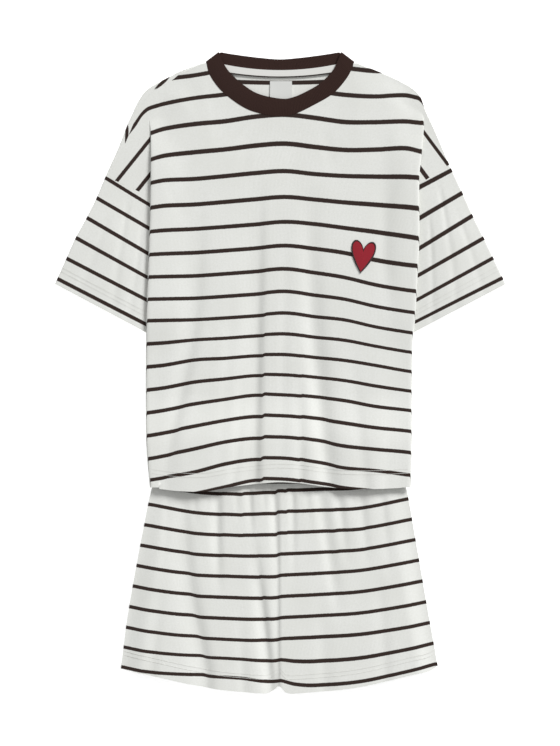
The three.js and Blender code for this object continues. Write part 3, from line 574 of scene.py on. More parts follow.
def pleat_rows(side, y):
    shape = WINGS[side]
    out = SIGN[side]
    corner_x, corner_y = shape["corner"]
    above = y > shape["low"][1] + 0.01
    outer = along(shape["outer"], y, True)
    edge = body_edge(side, y)
    within = out * np.minimum(np.abs(edge), np.abs(outer))
    edge = np.where(y > shape["at_seam"][1], within, edge)
    back = np.where(y >= corner_y, edge, edge - out * pleat(side, "depth", y))
    flat = ease(y, corner_y - CHEST_FOLLOWS["height"][1], corner_y)
    raised = lift(y)
    height = {key: mix(pleat(side, key, y), SECOND, flat) for key in PLEAT_KEYS[:3]}
    low_y = shape["low"][1]
    settles = ease(y, low_y - ARMPIT_SETTLES[0], low_y - ARMPIT_SETTLES[1])
    inner = mix(FIRST, height["inner"], settles)
    wing_z = np.where(above, SECOND, inner)
    wing_x = np.where(above, outer, back)
    section = [(edge - out * PLEAT_LEAD, height["edge"]), (edge, height["edge"]),
               (edge, height["under"]), (back, inner), (back, wing_z), (wing_x, wing_z)]
    polygon = np.stack([np.stack([x, z + raised], axis=1) for x, z in section], axis=1)
    curve = cut_corners(polygon, CUTS)
    x, z = curve[:, :, 0], curve[:, :, 1]
    inside = corner_x - out * np.maximum(out * (edge[:, None] - x), 0)
    rise = ease(y, corner_y - CHEST_FOLLOWS["up"][1], corner_y)[:, None]
    return x, y[:, None] + rise * (along(shape["line"], inside, True) - corner_y), z


def chest_top(count):
    """Upper end of each column of the chest: shoulder, neck seam and shoulder."""
    shares = np.linspace(0, 1, round(count * SHOULDER_SHARE) + 1)[1:]
    sides = {}
    for side, out in SIGN.items():
        x = mix(out * COLLAR["seam_end"][0], WINGS[side]["corner"][0] - out * PLEAT_LEAD, shares)
        height = mix(RIB_FRONT, SECOND, ease(shares, 0, NECK_RISES_BY))
        sides[side] = np.stack([x, along(WINGS[side]["line"], x, True), height], axis=1)
    points, run = spline(collar_curves()["seam"], np.linspace(0, 1, count + 1 - 2 * len(shares)))
    side_step = np.stack([run[:, 1], -run[:, 0]], axis=1) * STITCH
    neck = np.column_stack([points + side_step, np.full(len(points), RIB_FRONT)])
    return np.vstack([sides["left"][::-1], neck, sides["right"]])


# %% [markdown]
# ## Curves of the collar
# The collar is one ring of rib knit. Its front half lies on its back half, folded at the two
# shoulders, so four curves describe it: the sewn and the free edge of each half.

# %% Collar curves
COLLAR = {"seam_end": (115.6, 481.9), "free_end": (95.6, 497.1), "back_seam": 461,
          "back_free": 485.9}
NECK_SEAM = [(-109.6, 463.1), (-97.7, 444.4), (-81.8, 428.6), (-56.1, 410.8), (-32.4, 401.9),
             (-0.8, 397), (22.9, 400.8), (52.5, 414.8), (82.3, 432.5), (102, 454.3), (111.9, 472)]
NECK_FREE = [(-86.8, 478), (-76, 463.1), (-56.1, 445.3), (-32.4, 431.5), (3.1, 424.2),
             (22.9, 427.5), (42.8, 436.5), (62.5, 448.3), (80.3, 466.1), (87.3, 478.3)]
COLLAR_FOLD = (RIB_FRONT - RIB_BACK) / 2


def collar_outward(side):
    fold = np.array(COLLAR["free_end"]) - np.array(COLLAR["seam_end"])
    fold /= np.linalg.norm(fold)
    return np.array([abs(fold[1]) * SIGN[side], abs(fold[0])])


def collar_curves():
    inset = COLLAR_FOLD + RIBBING / 2

    def end(side, key):
        x, y = COLLAR[key]
        return tuple(np.array([x * SIGN[side], y]) - collar_outward(side) * inset)

    def dip(key, middle, power, height):
        x, y = end("right", key)
        half = [(part * x, mix(middle, height, part**power)) for part in (0.3, 0.6, 0.85, 0.97)]
        mirrored = [(-x, y) for x, y in half[::-1]]
        return [end("left", key), *mirrored, (0, middle), *half, (x, y)]

    return {
        "seam": [end("left", "seam_end"), *NECK_SEAM, end("right", "seam_end")],
        "free": [end("left", "free_end"), *NECK_FREE, end("right", "free_end")],
        "back_seam": dip("seam_end", COLLAR["back_seam"], 2, end("right", "seam_end")[1]),
        "back_free": dip("free_end", COLLAR["back_free"], 1.4, COLLAR["free_end"][1]),
    }


# %% [markdown]
# The drop shoulders hang at an angle to the chest, so their stripes run down along the arm. A
# straight rule from two marks gives the number there, and it runs over into the chest's own
# number across the pleat.

# %% Lay the front
WING_STRIPES = {
    "left": {"mark": (150.3, 138.9), "normal": (0.78, 0.626),
             "numbers": [(-41, 0), (-21, 1), (0, 2), (22.1, 3), (45, 4)]},
    "right": {"mark": (422.9, 130.6), "normal": (-0.803, 0.596),
              "numbers": [(-34, 0), (-15.5, 1), (0, 2), (24.6, 3), (49, 4)]},
}
SHOULDER_TURN = {
    "left": {"across": (192, 229), "up": (376, 398)},
    "right": {"across": (208, 228), "up": (390, 406)},
}


def wing_number(side, x, y):
    rule = WING_STRIPES[side]
    px, py = to_pixel(x, y)
    across_x = (px - rule["mark"][0]) * rule["normal"][0]
    across_y = (py - rule["mark"][1]) * rule["normal"][1]
    return along(rule["numbers"], across_x + across_y)


def front_number(x, y, in_pleat=0):
    """The chest's number, which runs over into the drop shoulder's, sharply in a pleat."""
    number = stripe_number(TEE_STRIPES, x, y)
    for side, out in SIGN.items():
        turn = SHOULDER_TURN[side]
        flat = ease(y, *turn["up"])
        share = np.where(x * out > 0, mix(in_pleat, ease(x * out, *turn["across"]), flat), 0)
        number = mix(number, wing_number(side, x, y), share)
    return number


def place_front(across, up):
    levels = {side: levels_of(side) for side in SIGN}
    pleats = {side: pleat_rows(side, levels[side]) for side in SIGN}
    part = np.linspace(0, 1, CHEST_COLUMNS + 1)[None, :]
    top = chest_top(CHEST_COLUMNS)
    level = mix(levels["left"][:, None], levels["right"][:, None], part)
    roof = mix(WINGS["left"]["corner"][1], WINGS["right"]["corner"][1], part)
    start = mix(pleats["left"][0][:, :1], pleats["right"][0][:, :1], part)
    side_share = ease(np.abs(2 * part - 1), CHEST_SIDES, 1)

    def follow(way):
        middle, at_side = CHEST_FOLLOWS[way]
        return ease(level, mix(middle, roof - at_side, side_share), roof)

    x = mix(start, top[None, :, 0], follow("across"))
    hem_shift = (along(TEE_HEM, x) - HEM_CORNER) * (1 - ease(level, HEM_CORNER, HEM_FADES))
    y = level + (top[None, :, 1] - roof) * follow("up") + hem_shift
    z = mix(chest_height(x, np.minimum(y, level)), top[None, :, 2], follow("height"))

    rows_of = {"x": [], "y": [], "z": [], "number": []}
    for side in SIGN:
        px, py, pz = pleats[side]
        turn = ease(np.linspace(0, 1, px.shape[1]), *PLEAT_TURN)[None, :]
        number = front_number(px, py, turn)
        order = slice(None, 0, -1) if side == "left" else slice(1, None)
        for key, value in zip(rows_of, (px, py, pz, number)):
            rows_of[key].append(value[:, order])
    chest = {"x": x, "y": y, "z": z, "number": front_number(x, y)}
    full = {key: np.hstack([pair[0], chest[key], pair[1]]) for key, pair in rows_of.items()}
    cut_x = row_lengths(full["x"], full["y"], full["z"])
    return full["x"], full["y"], full["z"], cut_x, full["number"]


PLEAT_POINTS = 6 * 2**CUTS
tee_front = lay("tee_front_cloth", place_front, sum(FRONT_ROWS),
                CHEST_COLUMNS + 2 * (PLEAT_POINTS - 1), JERSEY, jersey, "jersey")

# %% [markdown]
# ## Back of the tee
# The back lies flat on the surface under the front. Its upper edge is rolled over forwards at
# the shoulders, so a narrow strip of it shows beside the left shoulder seam, with its stripes
# turned the other way by the fold. The stripe number is taken where each point would lie if the
# roll were opened out, which turns them by itself.

# %% Lay the back
BACK_STRIPE = {"height": 449.7, "pitch": 38.7, "smile": 9.3, "smile_at": 171}
BACK_ROWS = (60, 30, 8, 8)
BACK_COLUMNS = {"neck": 40, "shoulder": 64}
STRIP_STRIPES = [
    {"from": (169.5, 76.4), "to": (154.8, 89.1), "half_width": 1.7},
    {"from": (127.4, 123.5), "to": (126, 146.5), "half_width": 1.7},
]


def back_number(x, y):
    rise = BACK_STRIPE["smile"] * (x / BACK_STRIPE["smile_at"]) ** 2
    return 2 - (y - rise - BACK_STRIPE["height"]) / BACK_STRIPE["pitch"]


def strip_number(x, y):
    """Zero along the short pieces of stripe that the rolled strip shows, half a count elsewhere."""
    px, py = to_pixel(x, y)
    number = np.full_like(px, 0.5)
    for piece in STRIP_STRIPES:
        start, stop = np.array(piece["from"]), np.array(piece["to"])
        half = np.linalg.norm(stop - start) / 2
        run = (stop - start) / half / 2
        middle = (start + stop) / 2
        ahead = (px - middle[0]) * run[0] + (py - middle[1]) * run[1]
        aside = (px - middle[0]) * run[1] - (py - middle[1]) * run[0]
        lens = np.hypot(ahead / half, aside / piece["half_width"]) * STRIPE_SHARE / 2
        number = np.minimum(number, lens)
    return number


def place_back(across, up):
    parts = np.linspace(0, 1, BACK_COLUMNS["shoulder"] + 1)[1:]
    top, inward, roll = [], [], []
    for side in SIGN:
        places, direction, rolled = shoulder_line(side, parts)
        order = slice(None, None, -1) if side == "left" else slice(None)
        top.append((places + direction * (ROLL + JERSEY / 2))[order])
        inward.append(direction[order])
        roll.append(rolled[order])
    points, run = spline(collar_curves()["back_seam"], np.linspace(0, 1, BACK_COLUMNS["neck"] + 1))
    neck = points + np.stack([run[:, 1], -run[:, 0]], axis=1) * STITCH
    none = np.zeros_like(neck)
    edge = np.vstack([top[0], neck, top[1]])
    direction = np.vstack([inward[0], none, inward[1]])
    rolled = np.concatenate([roll[0], np.zeros(len(neck)), roll[1]])
    share = np.linspace(0, 1, len(edge))[None, :]

    seams = {side: armhole(side) for side in SIGN}
    sides = {}
    for side, out in SIGN.items():
        level = np.linspace(HEM_CORNER, seams[side][1][1], BACK_ROWS[0], endpoint=False)
        level = np.maximum(level, BACK_HEM + np.arange(BACK_ROWS[0]) * STITCH)
        sides[side] = (return_x(side, level) - out * 2 * STITCH, level)
    body_x = mix(sides["left"][0][:, None], sides["right"][0][:, None], share)
    body_y = mix(sides["left"][1][:, None], sides["right"][1][:, None], share)

    rise = np.linspace(0, 1, BACK_ROWS[1] + 1)[:, None]
    start = {side: seams[side][1] - np.array([SIGN[side] * 2 * STITCH, 0]) for side in SIGN}
    ends = {"left": edge[0], "right": edge[-1]}
    yoke = []
    for axis in (0, 1):
        left = mix(start["left"][axis], ends["left"][axis], rise)
        right = mix(start["right"][axis], ends["right"][axis], rise)
        straight = mix(ends["left"][axis], ends["right"][axis], share)
        yoke.append(mix(left, right, share) + (edge[None, :, axis] - straight) * rise)

    turn = np.linspace(0, np.pi, BACK_ROWS[2] + 1)[1:, None]
    turn_x = edge[None, :, 0] - direction[None, :, 0] * ROLL * np.sin(turn)
    turn_y = edge[None, :, 1] - direction[None, :, 1] * ROLL * np.sin(turn)
    turn_z = FIRST + ROLL * (1 - np.cos(turn)) * (np.abs(direction).sum(axis=1)[None, :] > 0)
    width = np.maximum(rolled - ROLL - JERSEY / 2, 0)
    out_part = np.linspace(0, 1, BACK_ROWS[3] + 1)[1:, None]
    flap_x = edge[None, :, 0] + direction[None, :, 0] * width * out_part
    flap_y = edge[None, :, 1] + direction[None, :, 1] * width * out_part
    flap_z = np.broadcast_to(turn_z[-1:], flap_x.shape)

    x = np.vstack([body_x, yoke[0], turn_x, flap_x])
    y = np.vstack([body_y, yoke[1], turn_y, flap_y])
    flat = FIRST + lift(np.vstack([body_y, yoke[1]]))
    z = np.vstack([flat, turn_z, flap_z])
    past = np.vstack([ROLL * turn + 0 * width[None, :], ROLL * np.pi + width[None, :] * out_part])
    open_x = np.vstack([body_x, yoke[0], edge[None, :, 0] - direction[None, :, 0] * past])
    open_y = np.vstack([body_y, yoke[1], edge[None, :, 1] - direction[None, :, 1] * past])
    number = back_number(open_x, open_y)
    strip = len(body_x) + len(yoke[0])
    rolled_number = np.where(x < 0, strip_number(x, y), front_number(x, y, 1))
    number[strip:] = rolled_number[strip:]
    return x, y, z, open_x, number


tee_back = lay("tee_back_cloth", place_back, sum(BACK_ROWS),
               BACK_COLUMNS["neck"] + 2 * BACK_COLUMNS["shoulder"], JERSEY, jersey, "jersey")

# %% [markdown]
# ## Sleeves
# A sleeve is a tube pressed flat, from the armhole seam to its cuff, with its inner edge tucked
# under the body. Each row of the grid is one ring round it, closed when its ends are merged.

# %% Lay the sleeves
SLEEVES = {
    "left": {
        "fold": [(-285, 270.3), (-300.9, 238.7), (-317.6, 208.2), (-332, 176.1), (-349.3, 137.5)],
        "stripes": [(0.012, 1), (0.197, 2), (0.382, 3), (0.574, 4), (0.764, 5), (0.951, 6)],
        "inner_stripes": [(0.065, 1), (0.236, 2), (0.422, 3), (0.596, 4), (0.761, 5), (0.94, 6)],
        "creases": [
            {"from": (0, 0.52), "to": (1, 0.62), "depth": 0.9, "width": 0.05},
            {"from": (0.1, 0.86), "to": (0.8, 0.8), "depth": 0.8, "width": 0.04},
            {"from": (0.25, 0.3), "to": (1, 0.24), "depth": 0.7, "width": 0.05},
        ],
    },
    "right": {
        "fold": [(282.7, 280.2), (299.6, 242.7), (316.4, 209.1), (333, 174), (350.3, 137.3)],
        "stripes": [(0.045, 1), (0.235, 2), (0.424, 3), (0.614, 4), (0.78, 5), (0.947, 6)],
        "inner_stripes": [(0.018, 1), (0.228, 2), (0.434, 3), (0.617, 4), (0.782, 5), (0.93, 6)],
        "creases": [
            {"from": (0, 0.4), "to": (1, 0.52), "depth": 0.8, "width": 0.05},
            {"from": (0.2, 0.74), "to": (1, 0.78), "depth": 0.9, "width": 0.04},
            {"from": (0.3, 0.2), "to": (0.9, 0.22), "depth": 0.6, "width": 0.04},
        ],
    },
}
CUFF_Y = 60
SLEEVE_TUCK = 3
SLEEVE_PUFF = {"height": 2.4, "full_at": 0.55, "round": 1.2}
CREASE_STARTS = 0.2
CREASE_FADES = {"by": 0.4, "over": (0.8, 1.1)}
SLEEVE_ROWS = 64
SLEEVE_RING = {"upper": 52, "lower": 22, "turn": 5}


def place_sleeve(side):
    out = SIGN[side]
    rule = SLEEVES[side]
    top, low, down = armhole(side)
    to_cuff = np.array([-abs(down[1]) * -out, -abs(down[0])]) * 2 * STITCH
    fold = [tuple(top + to_cuff), *rule["fold"]]

    def place(across, up):
        part = up[:, 0]
        outer, _ = spline(fold, part)
        inner_start = body_edge(side, ARMPITS[side][1]) - out * SLEEVE_TUCK
        start_y = top[1] + (inner_start - top[0]) * down[1] / down[0] + to_cuff[1]
        y = mix(start_y, CUFF_Y, part)
        inner = np.stack([body_edge(side, y) - out * SLEEVE_TUCK, y], axis=1)
        length = np.linalg.norm(inner - outer, axis=1)
        run = (inner - outer) / length[:, None]

        end = JERSEY / 2 + ROLL
        upper = np.linspace(0, 1, SLEEVE_RING["upper"] + 1)
        angle = np.linspace(0, np.pi, SLEEVE_RING["turn"] + 1)[1:-1]
        lower = np.linspace(1, 0, SLEEVE_RING["lower"] + 1)
        swell = np.sin(np.pi * upper[None, :]) ** SLEEVE_PUFF["round"]
        puff = SLEEVE_PUFF["height"] * ease(part, 0, SLEEVE_PUFF["full_at"])[:, None] * swell
        fades = 1 - CREASE_FADES["by"] * ease(part, *CREASE_FADES["over"])
        for crease in rule["creases"]:
            (start, start_share), (stop, stop_share) = crease["from"], crease["to"]
            line = mix(start_share, stop_share, (part - start) / (stop - start))[:, None]
            reach = ease(part, start, start + CREASE_STARTS) * fades * crease["depth"]
            off = (upper[None, :] - line) / crease["width"]
            puff = np.maximum(puff - reach[:, None] * np.exp(-(off**2)), 0)
        span = (length - 2 * end)[:, None]
        far = np.hstack([
            end + upper[None, :] * span,
            (length - end)[:, None] + ROLL * np.sin(angle)[None, :],
            end + lower[None, :] * span,
            end - ROLL * np.sin(angle)[None, :] + 0 * span,
            end + 0 * span,
        ])
        height = np.hstack([
            SECOND + puff,
            FIRST + ROLL * (1 + np.cos(angle))[None, :] + 0 * span,
            FIRST + 0 * lower[None, :] + 0 * span,
            FIRST + ROLL * (1 - np.cos(angle))[None, :] + 0 * span,
            SECOND + 0 * span,
        ])
        x = outer[:, :1] + run[:, :1] * far
        y = outer[:, 1:] + run[:, 1:] * far
        share = np.clip(far / length[:, None], 0, 1)
        spread = np.broadcast_to(part[:, None], share.shape)
        number = mix(stripe_at(rule["stripes"], spread), stripe_at(rule["inner_stripes"], spread),
                     share)
        return x, y, height, row_lengths(x, y, height), number

    return place


def stripe_at(marks, part):
    """Number by the share of the sleeve's length, carried on past its first and last stripe."""
    (first_at, first), (second_at, _) = marks[:2]
    (next_at, _), (last_at, last) = marks[-2:]
    before = first + (part - first_at) / (second_at - first_at)
    after = last + (part - last_at) / (last_at - next_at)
    inside = along(marks, part)
    return np.where(part < first_at, before, np.where(part > last_at, after, inside))


ring_columns = SLEEVE_RING["upper"] + SLEEVE_RING["lower"] + 2 * SLEEVE_RING["turn"]
for side in SIGN:
    lay(f"sleeve_{side}_cloth", place_sleeve(side), SLEEVE_ROWS,
                                  ring_columns, JERSEY, jersey, "jersey", outwards=True)

# %% [markdown]
# ## Shorts
# Each leg has a front and a back panel that meet at the outer seam and at the centre. The front
# gathers under the elastic and falls in a few long folds to its hem.

# %% Marks of the shorts
SHORTS_FOLDS = [
    {"marks": [(-149, -157, 1.8), (-146, -290, 2.6), (-115, -470, 3.8)], "flanks": (20, 12)},
    {"marks": [(-97, -157, 2.2), (-97, -256, 2.6), (-95, -350, 0)], "flanks": (9, 7)},
    {"marks": [(-47, -157, 2), (-46, -200, 1.8), (-42, -262, 0)], "flanks": (7, 4)},
    {"marks": [(-40, -250, 0), (-26, -380, 3.6), (-14, -490, 3.8)], "flanks": (11, 7)},
    {"marks": [(-133, -157, 1.6), (-132, -200, 1), (-130, -245, 0)], "flanks": (6, 5)},
    {"marks": [(-10, -157, 2.2), (-8, -215, 2.2), (-6, -310, 0)], "flanks": (7, 4)},
    {"marks": [(-1.5, -170, 0.6), (-1.5, -330, 1.8), (-1.5, -488, 2.2)], "flanks": (9, 0.4)},
    {"marks": [(18, -157, 1.8), (20, -215, 1.6), (22, -330, 0)], "flanks": (6, 5)},
    {"marks": [(57, -157, 1.8), (76, -280, 2.2), (92, -390, 0)], "flanks": (9, 11)},
    {"marks": [(86, -157, 1.6), (94, -215, 1.8), (104, -300, 0)], "flanks": (8, 7)},
    {"marks": [(124, -157, 1.8), (128, -220, 1.8), (136, -310, 0)], "flanks": (9, 8)},
]
SHORTS_CREASES = [
    {"marks": [(-172, -157, 0.8), (-176, -230, 0.7), (-184, -330, 0)], "flanks": (6, 8)},
    {"marks": [(-112, -157, 1.0), (-112, -190, 0.6), (-113, -225, 0)], "flanks": (5, 4)},
    {"marks": [(-70, -157, 1.0), (-68, -195, 0.7), (-64, -235, 0)], "flanks": (4, 6)},
    {"marks": [(-26, -157, 1.1), (-25, -190, 0.8), (-22, -225, 0)], "flanks": (4, 5)},
    {"marks": [(40, -157, 1.0), (43, -200, 0.7), (48, -245, 0)], "flanks": (6, 5)},
    {"marks": [(110, -157, 0.9), (113, -195, 0.7), (118, -240, 0)], "flanks": (5, 6)},
    {"marks": [(156, -157, 0.9), (162, -230, 0.8), (172, -330, 0)], "flanks": (8, 6)},
    {"marks": [(150, -300, 0), (158, -380, 0.8), (164, -478, 1.2)], "flanks": (12, 9)},
    {"marks": [(60, -330, 0), (66, -420, 0.8), (70, -492, 1.3)], "flanks": (10, 13)},
    {"marks": [(-180, -320, 0), (-190, -390, 0.8), (-200, -468, 1.2)], "flanks": (10, 8)},
    {"marks": [(-62, -360, 0), (-60, -430, 0.8), (-56, -490, 1.2)], "flanks": (8, 9)},
]
SHORTS_LOFT = [(-500, 5.4), (-330, 4.6), (-200, 2.8), (-157, 2.2)]
SHORTS_NOISE = {"height": 0.3, "size": 38, "seed": 8}
SHORTS_EDGE_BLEND = 34
SHORTS_HEM = [(-246.8, -459.1), (-196.5, -470.3), (-107.1, -489.2), (-29, -497.1),
              (-17.8, -496.6), (-8.8, -491.5), (-1.2, -485.8), (9.1, -495.8), (29.1, -496.6),
              (118.6, -488.1), (207.9, -467.9), (232.3, -462.4), (244.7, -454.6)]
OUTSEAMS = {
    "left": [(-157, -191), (-178.9, -198.9), (-236.2, -210.8), (-372.6, -235.6),
             (-459.1, -246.8)],
    "right": [(-157, 190), (-177.9, 196.1), (-261, 210.8), (-360.2, 227.9), (-454.6, 244.7)],
}
CENTRE_SEAM = -1.2


# %% Lay the shorts
def shorts_height(x, y, from_edge):
    loft = along(SHORTS_LOFT, y) - hollows(SHORTS_FOLDS, x, y)
    fine = ripple(x, y, SHORTS_NOISE) - hollows(SHORTS_CREASES, x, y)
    fold = np.maximum(loft + fine, 0)
    return SECOND + fold * ease(from_edge, 0, SHORTS_EDGE_BLEND)


def place_shorts(side, front):
    out = SIGN[side]
    centre = CENTRE_SEAM + out * STITCH
    top = WAISTBAND["low"] - GAP
    low_y, low_x = min(OUTSEAMS[side])

    def place(across, up):
        down = 1 - up
        inward = across if side == "left" else 1 - across
        x = mix(along(OUTSEAMS[side], mix(top, low_y, down)), centre, inward)
        y = mix(top, along(SHORTS_HEM, mix(low_x, centre, inward)), down)
        from_edge = np.abs(centre - along(OUTSEAMS[side], y)) * inward
        z = shorts_height(x, y, from_edge) if front else np.full_like(x, FIRST)
        return x, y, z, row_lengths(x, y, z), stripe_number(SHORTS_STRIPES, x, y)

    return place


SHORTS_GRIDS = {"front": (110, 96), "back": (60, 40)}
for side in SIGN:
    for half, grid in SHORTS_GRIDS.items():
        node = f"shorts_{half}_{side}"
        lay(f"{node}_cloth", place_shorts(side, half == "front"), *grid, JERSEY,
                          jersey, "jersey")


# %% [markdown]
# The waistband is one flat ring of jersey over elastic, hidden under the tee's hem.

# %% Lay the waistband
WAISTBAND_STEPS = {"up": 10, "half": 41, "turn": 5}


def place_waistband(across, up):
    first = ELASTIC / 2
    second = first + ELASTIC + GAP
    turn = (second - first) / 2
    end = WAISTBAND["half_width"] - turn - ELASTIC / 2
    count = WAISTBAND_STEPS["half"]
    run = np.linspace(-end, end, count)
    angle = np.linspace(0, np.pi, WAISTBAND_STEPS["turn"] + 2)[1:-1]
    x = np.concatenate([run, end + turn * np.sin(angle), run[::-1], -end - turn * np.sin(angle),
                        run[:1]])
    z = np.concatenate([np.full(count, first), first + turn * (1 - np.cos(angle)),
                        np.full(count, second), first + turn * (1 + np.cos(angle)), [first]])
    x = x[None, :] + 0 * up[:, :1]
    z = z[None, :] + 0 * up[:, :1]
    y = mix(WAISTBAND["low"], WAISTBAND["top"], up[:, :1]) + 0 * x
    return x, y, z, row_lengths(x, y, z), stripe_number(SHORTS_STRIPES, x, y)


waistband_columns = 2 * (WAISTBAND_STEPS["half"] + WAISTBAND_STEPS["turn"])
lay("waistband_cloth", place_waistband, WAISTBAND_STEPS["up"],
                         waistband_columns, ELASTIC, jersey, "jersey", outwards=True)

# %% [markdown]
# ## Ribbed collar
# The collar is a band of one-by-one rib, knitted twice as wide, folded in half and sewn on, so
# its free edge is a soft fold and its sewn edge is flat. One ring is laid: the front half, a turn
# at the right shoulder, the back half under it and a turn at the left. Its ribs are real ridges,
# because they catch the light. A real rib is about 1.3 mm wide, and these are twice that.

# %% Rib yarn
RIB_YARN = {"light": "#3A251F", "deep": "#291915"}


def make_rib():
    material, tree, shader = new_material("rib_knit", 0.95, 0.05)
    space = add(tree, "ShaderNodeTexCoord", {}).outputs["Object"]
    fibres = add(tree, "ShaderNodeTexNoise", {"Vector": space, "Scale": 700, "Detail": 3})
    colour = add(tree, "ShaderNodeMix", {"Factor": fibres.outputs["Fac"],
                                         6: linear(RIB_YARN["deep"]),
                                         7: linear(RIB_YARN["light"])}, data_type="RGBA")
    tree.links.new(colour.outputs[2], shader.inputs["Base Color"])
    bump = add(tree, "ShaderNodeBump", {"Height": fibres.outputs["Fac"], "Strength": 0.4,
                                        "Distance": 0.0005})
    tree.links.new(bump.outputs["Normal"], shader.inputs["Normal"])
    return material


rib_knit = make_rib()

# %% Lay the collar
RIB_STEPS = {"front": 620, "back": 460, "turn": 10, "across": 10}
RIB_PITCH = 2.6
RIB_HEIGHT = 0.14
RIB_CROWN = {"front": 0.55, "back": 0.25}


def place_collar(across, up):
    curves = collar_curves()
    share = up[:, :1]
    swell = np.sin(np.pi * share) ** 0.7

    def half(seam, free, count, height, crown):
        parts = np.linspace(0, 1, count + 1)
        low, _ = spline(curves[seam], parts)
        high, _ = spline(curves[free], parts)
        run = np.concatenate([[0], np.cumsum(np.linalg.norm(np.diff(low, axis=0), axis=1))])
        ends = ease(np.minimum(parts, 1 - parts), 0, 0.06)
        ribs = RIB_HEIGHT * np.cos(2 * np.pi * run / RIB_PITCH)
        z = height + (crown * swell + ribs) * ends
        return mix(low[:, 0], high[:, 0], share), mix(low[:, 1], high[:, 1], share), z

    def turn(side, angles):
        end = 0 if side == "left" else -1
        away = collar_outward(side)[:, None] * COLLAR_FOLD * np.sin(angles)
        low = np.array(curves["seam"][end])[:, None] + away
        high = np.array(curves["free"][end])[:, None] + away
        z = RIB_BACK + COLLAR_FOLD * (1 + np.cos(angles)) + 0 * share
        return mix(low[0], high[0], share), mix(low[1], high[1], share), z

    front = half("seam", "free", RIB_STEPS["front"], RIB_FRONT, RIB_CROWN["front"])
    back = half("back_seam", "back_free", RIB_STEPS["back"], RIB_BACK, RIB_CROWN["back"])
    angles = np.linspace(0, np.pi, RIB_STEPS["turn"] + 1)[1:-1]
    right, left = turn("right", angles), turn("left", angles[::-1])
    ring = [np.hstack([front[i], right[i], back[i][:, ::-1], left[i], front[i][:, :1]])
            for i in range(3)]
    return *ring, row_lengths(*ring), share + 0 * ring[0]


collar_columns = RIB_STEPS["front"] + RIB_STEPS["back"] + 2 * RIB_STEPS["turn"]
lay("neck_rib_knit", place_collar, RIB_STEPS["across"], collar_columns,
                        RIBBING, rib_knit, "rib")

# %% [markdown]
# ## Neck tape and label
# Inside the back neck a plain jersey tape covers the seam, and a thin dark strip lies along its
# lower edge. A woven label is caught under it. The label is left bare. Both are thin
# pieces that lie flat, so a small grid with a slight unevenness is enough.

# %% Lay the tape and the label
TAPE = {"half_length": 90, "top": 469, "top_rise": 9.6, "low": 457.9, "low_rise": 8.2}
TAPE_LINE = {"width": 1.8, "wall": 0.3, "above": 0.75}
LABEL = {"left": -15.5, "right": 18.6, "top": 452.1, "low": 419}


def tape_edge(key, x):
    return TAPE[key] + TAPE[key + "_rise"] * (x / TAPE["half_length"]) ** 2


def place_tape(across, up):
    x = mix(-TAPE["half_length"], TAPE["half_length"], across)
    y = mix(tape_edge("low", x), tape_edge("top", x), up)
    return x, y, np.full_like(x, TAPE_HEIGHT), x, up


# A thin dark strip laid just above the tape, along its lower edge.
def place_tape_line(across, up):
    x = mix(-TAPE["half_length"], TAPE["half_length"], across)
    y = tape_edge("low", x) + TAPE_LINE["width"] * (up - 0.3)
    return x, y, np.full_like(x, TAPE_HEIGHT + TAPE_LINE["above"]), x, up


def place_label(across, up):
    x = mix(LABEL["left"], LABEL["right"], across)
    y = mix(LABEL["low"], LABEL["top"], up)
    curl = 0.5 * (1 - up) * (2 * across - 1) ** 2
    return x, y, LABEL_HEIGHT + curl, x, up


def make_plain(name, hex_colour, roughness, grain):
    material, tree, shader = new_material(name, roughness, 0.1)
    shader.inputs["Base Color"].default_value = linear(hex_colour)
    space = add(tree, "ShaderNodeTexCoord", {}).outputs["Object"]
    threads = add(tree, "ShaderNodeTexNoise", {"Vector": space, "Scale": grain, "Detail": 2})
    bump = add(tree, "ShaderNodeBump", {"Height": threads.outputs["Fac"], "Strength": 0.3,
                                        "Distance": 0.0003})
    tree.links.new(bump.outputs["Normal"], shader.inputs["Normal"])
    return material


tape_jersey = make_plain("jersey_tape", "#E4E4E0", 0.9, 800)
# Colour of the thin dark strip along the tape's lower edge.
dark_line_material = make_plain("dark_tape_edge_line", "#261A16", 0.8, 1500)
light_thread = make_plain("off_white_sewing_thread", "#DEDED9", 0.7, 1500)
woven_label = make_plain("woven_label", "#DCDDDA", 0.6, 1200)

lay("neck_tape_cloth", place_tape, 4, 60, TRIM, tape_jersey, "tape")
# The thin dark strip along the tape's lower edge.
tape_line_strip = lay("neck_tape_edge", place_tape_line, 2, 120, TAPE_LINE["wall"], dark_line_material, "tape")
lay("label_cloth", place_label, 8, 8, TRIM, woven_label, "label")

# %% [markdown]
# ## Heart
# The heart is a small machine-stitched motif: a fill of red satin stitch that swells towards its
# middle, and a darker border of the same stitch. It follows a common heart formula, so it is
# nobody's drawing. The grid runs round the outline and out from the middle, and its innermost
# row is one point. The stitches are fine ridges across it.

# %% Lay the heart
HEART = {"x": 127.7, "y": 178.5, "width": 38, "height": 51, "lean": -0.13, "clear": 0.15}
HEART_WAVES = (12, -6, -2.5)
HEART_STEPS = {"round": 160, "out": 20}
HEART_DOME = 0.5
BORDER = {"width": 2.5, "height": 0.7, "across": 8}


def heart_outline(count):
    angle = np.linspace(0, 2 * np.pi, count + 1)
    rise = sum(size * np.cos((i + 1) * angle) for i, size in enumerate(HEART_WAVES))
    low, high = rise.min(), rise.max()
    x = np.sin(angle) ** 3 * HEART["width"] / 2
    y = ((rise - low) / (high - low) - 0.5) * HEART["height"]
    turn, tilt = math.cos(HEART["lean"]), math.sin(HEART["lean"])
    return x * turn - y * tilt, x * tilt + y * turn


def on_chest(x, y, above):
    return chest_height(x, y) + JERSEY / 2 + HEART["clear"] + above


def place_heart(across, up):
    outline_x, outline_y = heart_outline(HEART_STEPS["round"])
    x = HEART["x"] + outline_x * up
    y = HEART["y"] + outline_y * up
    return x, y, on_chest(x, y, MOTIF / 2 + HEART_DOME * (1 - up**2)), x, y


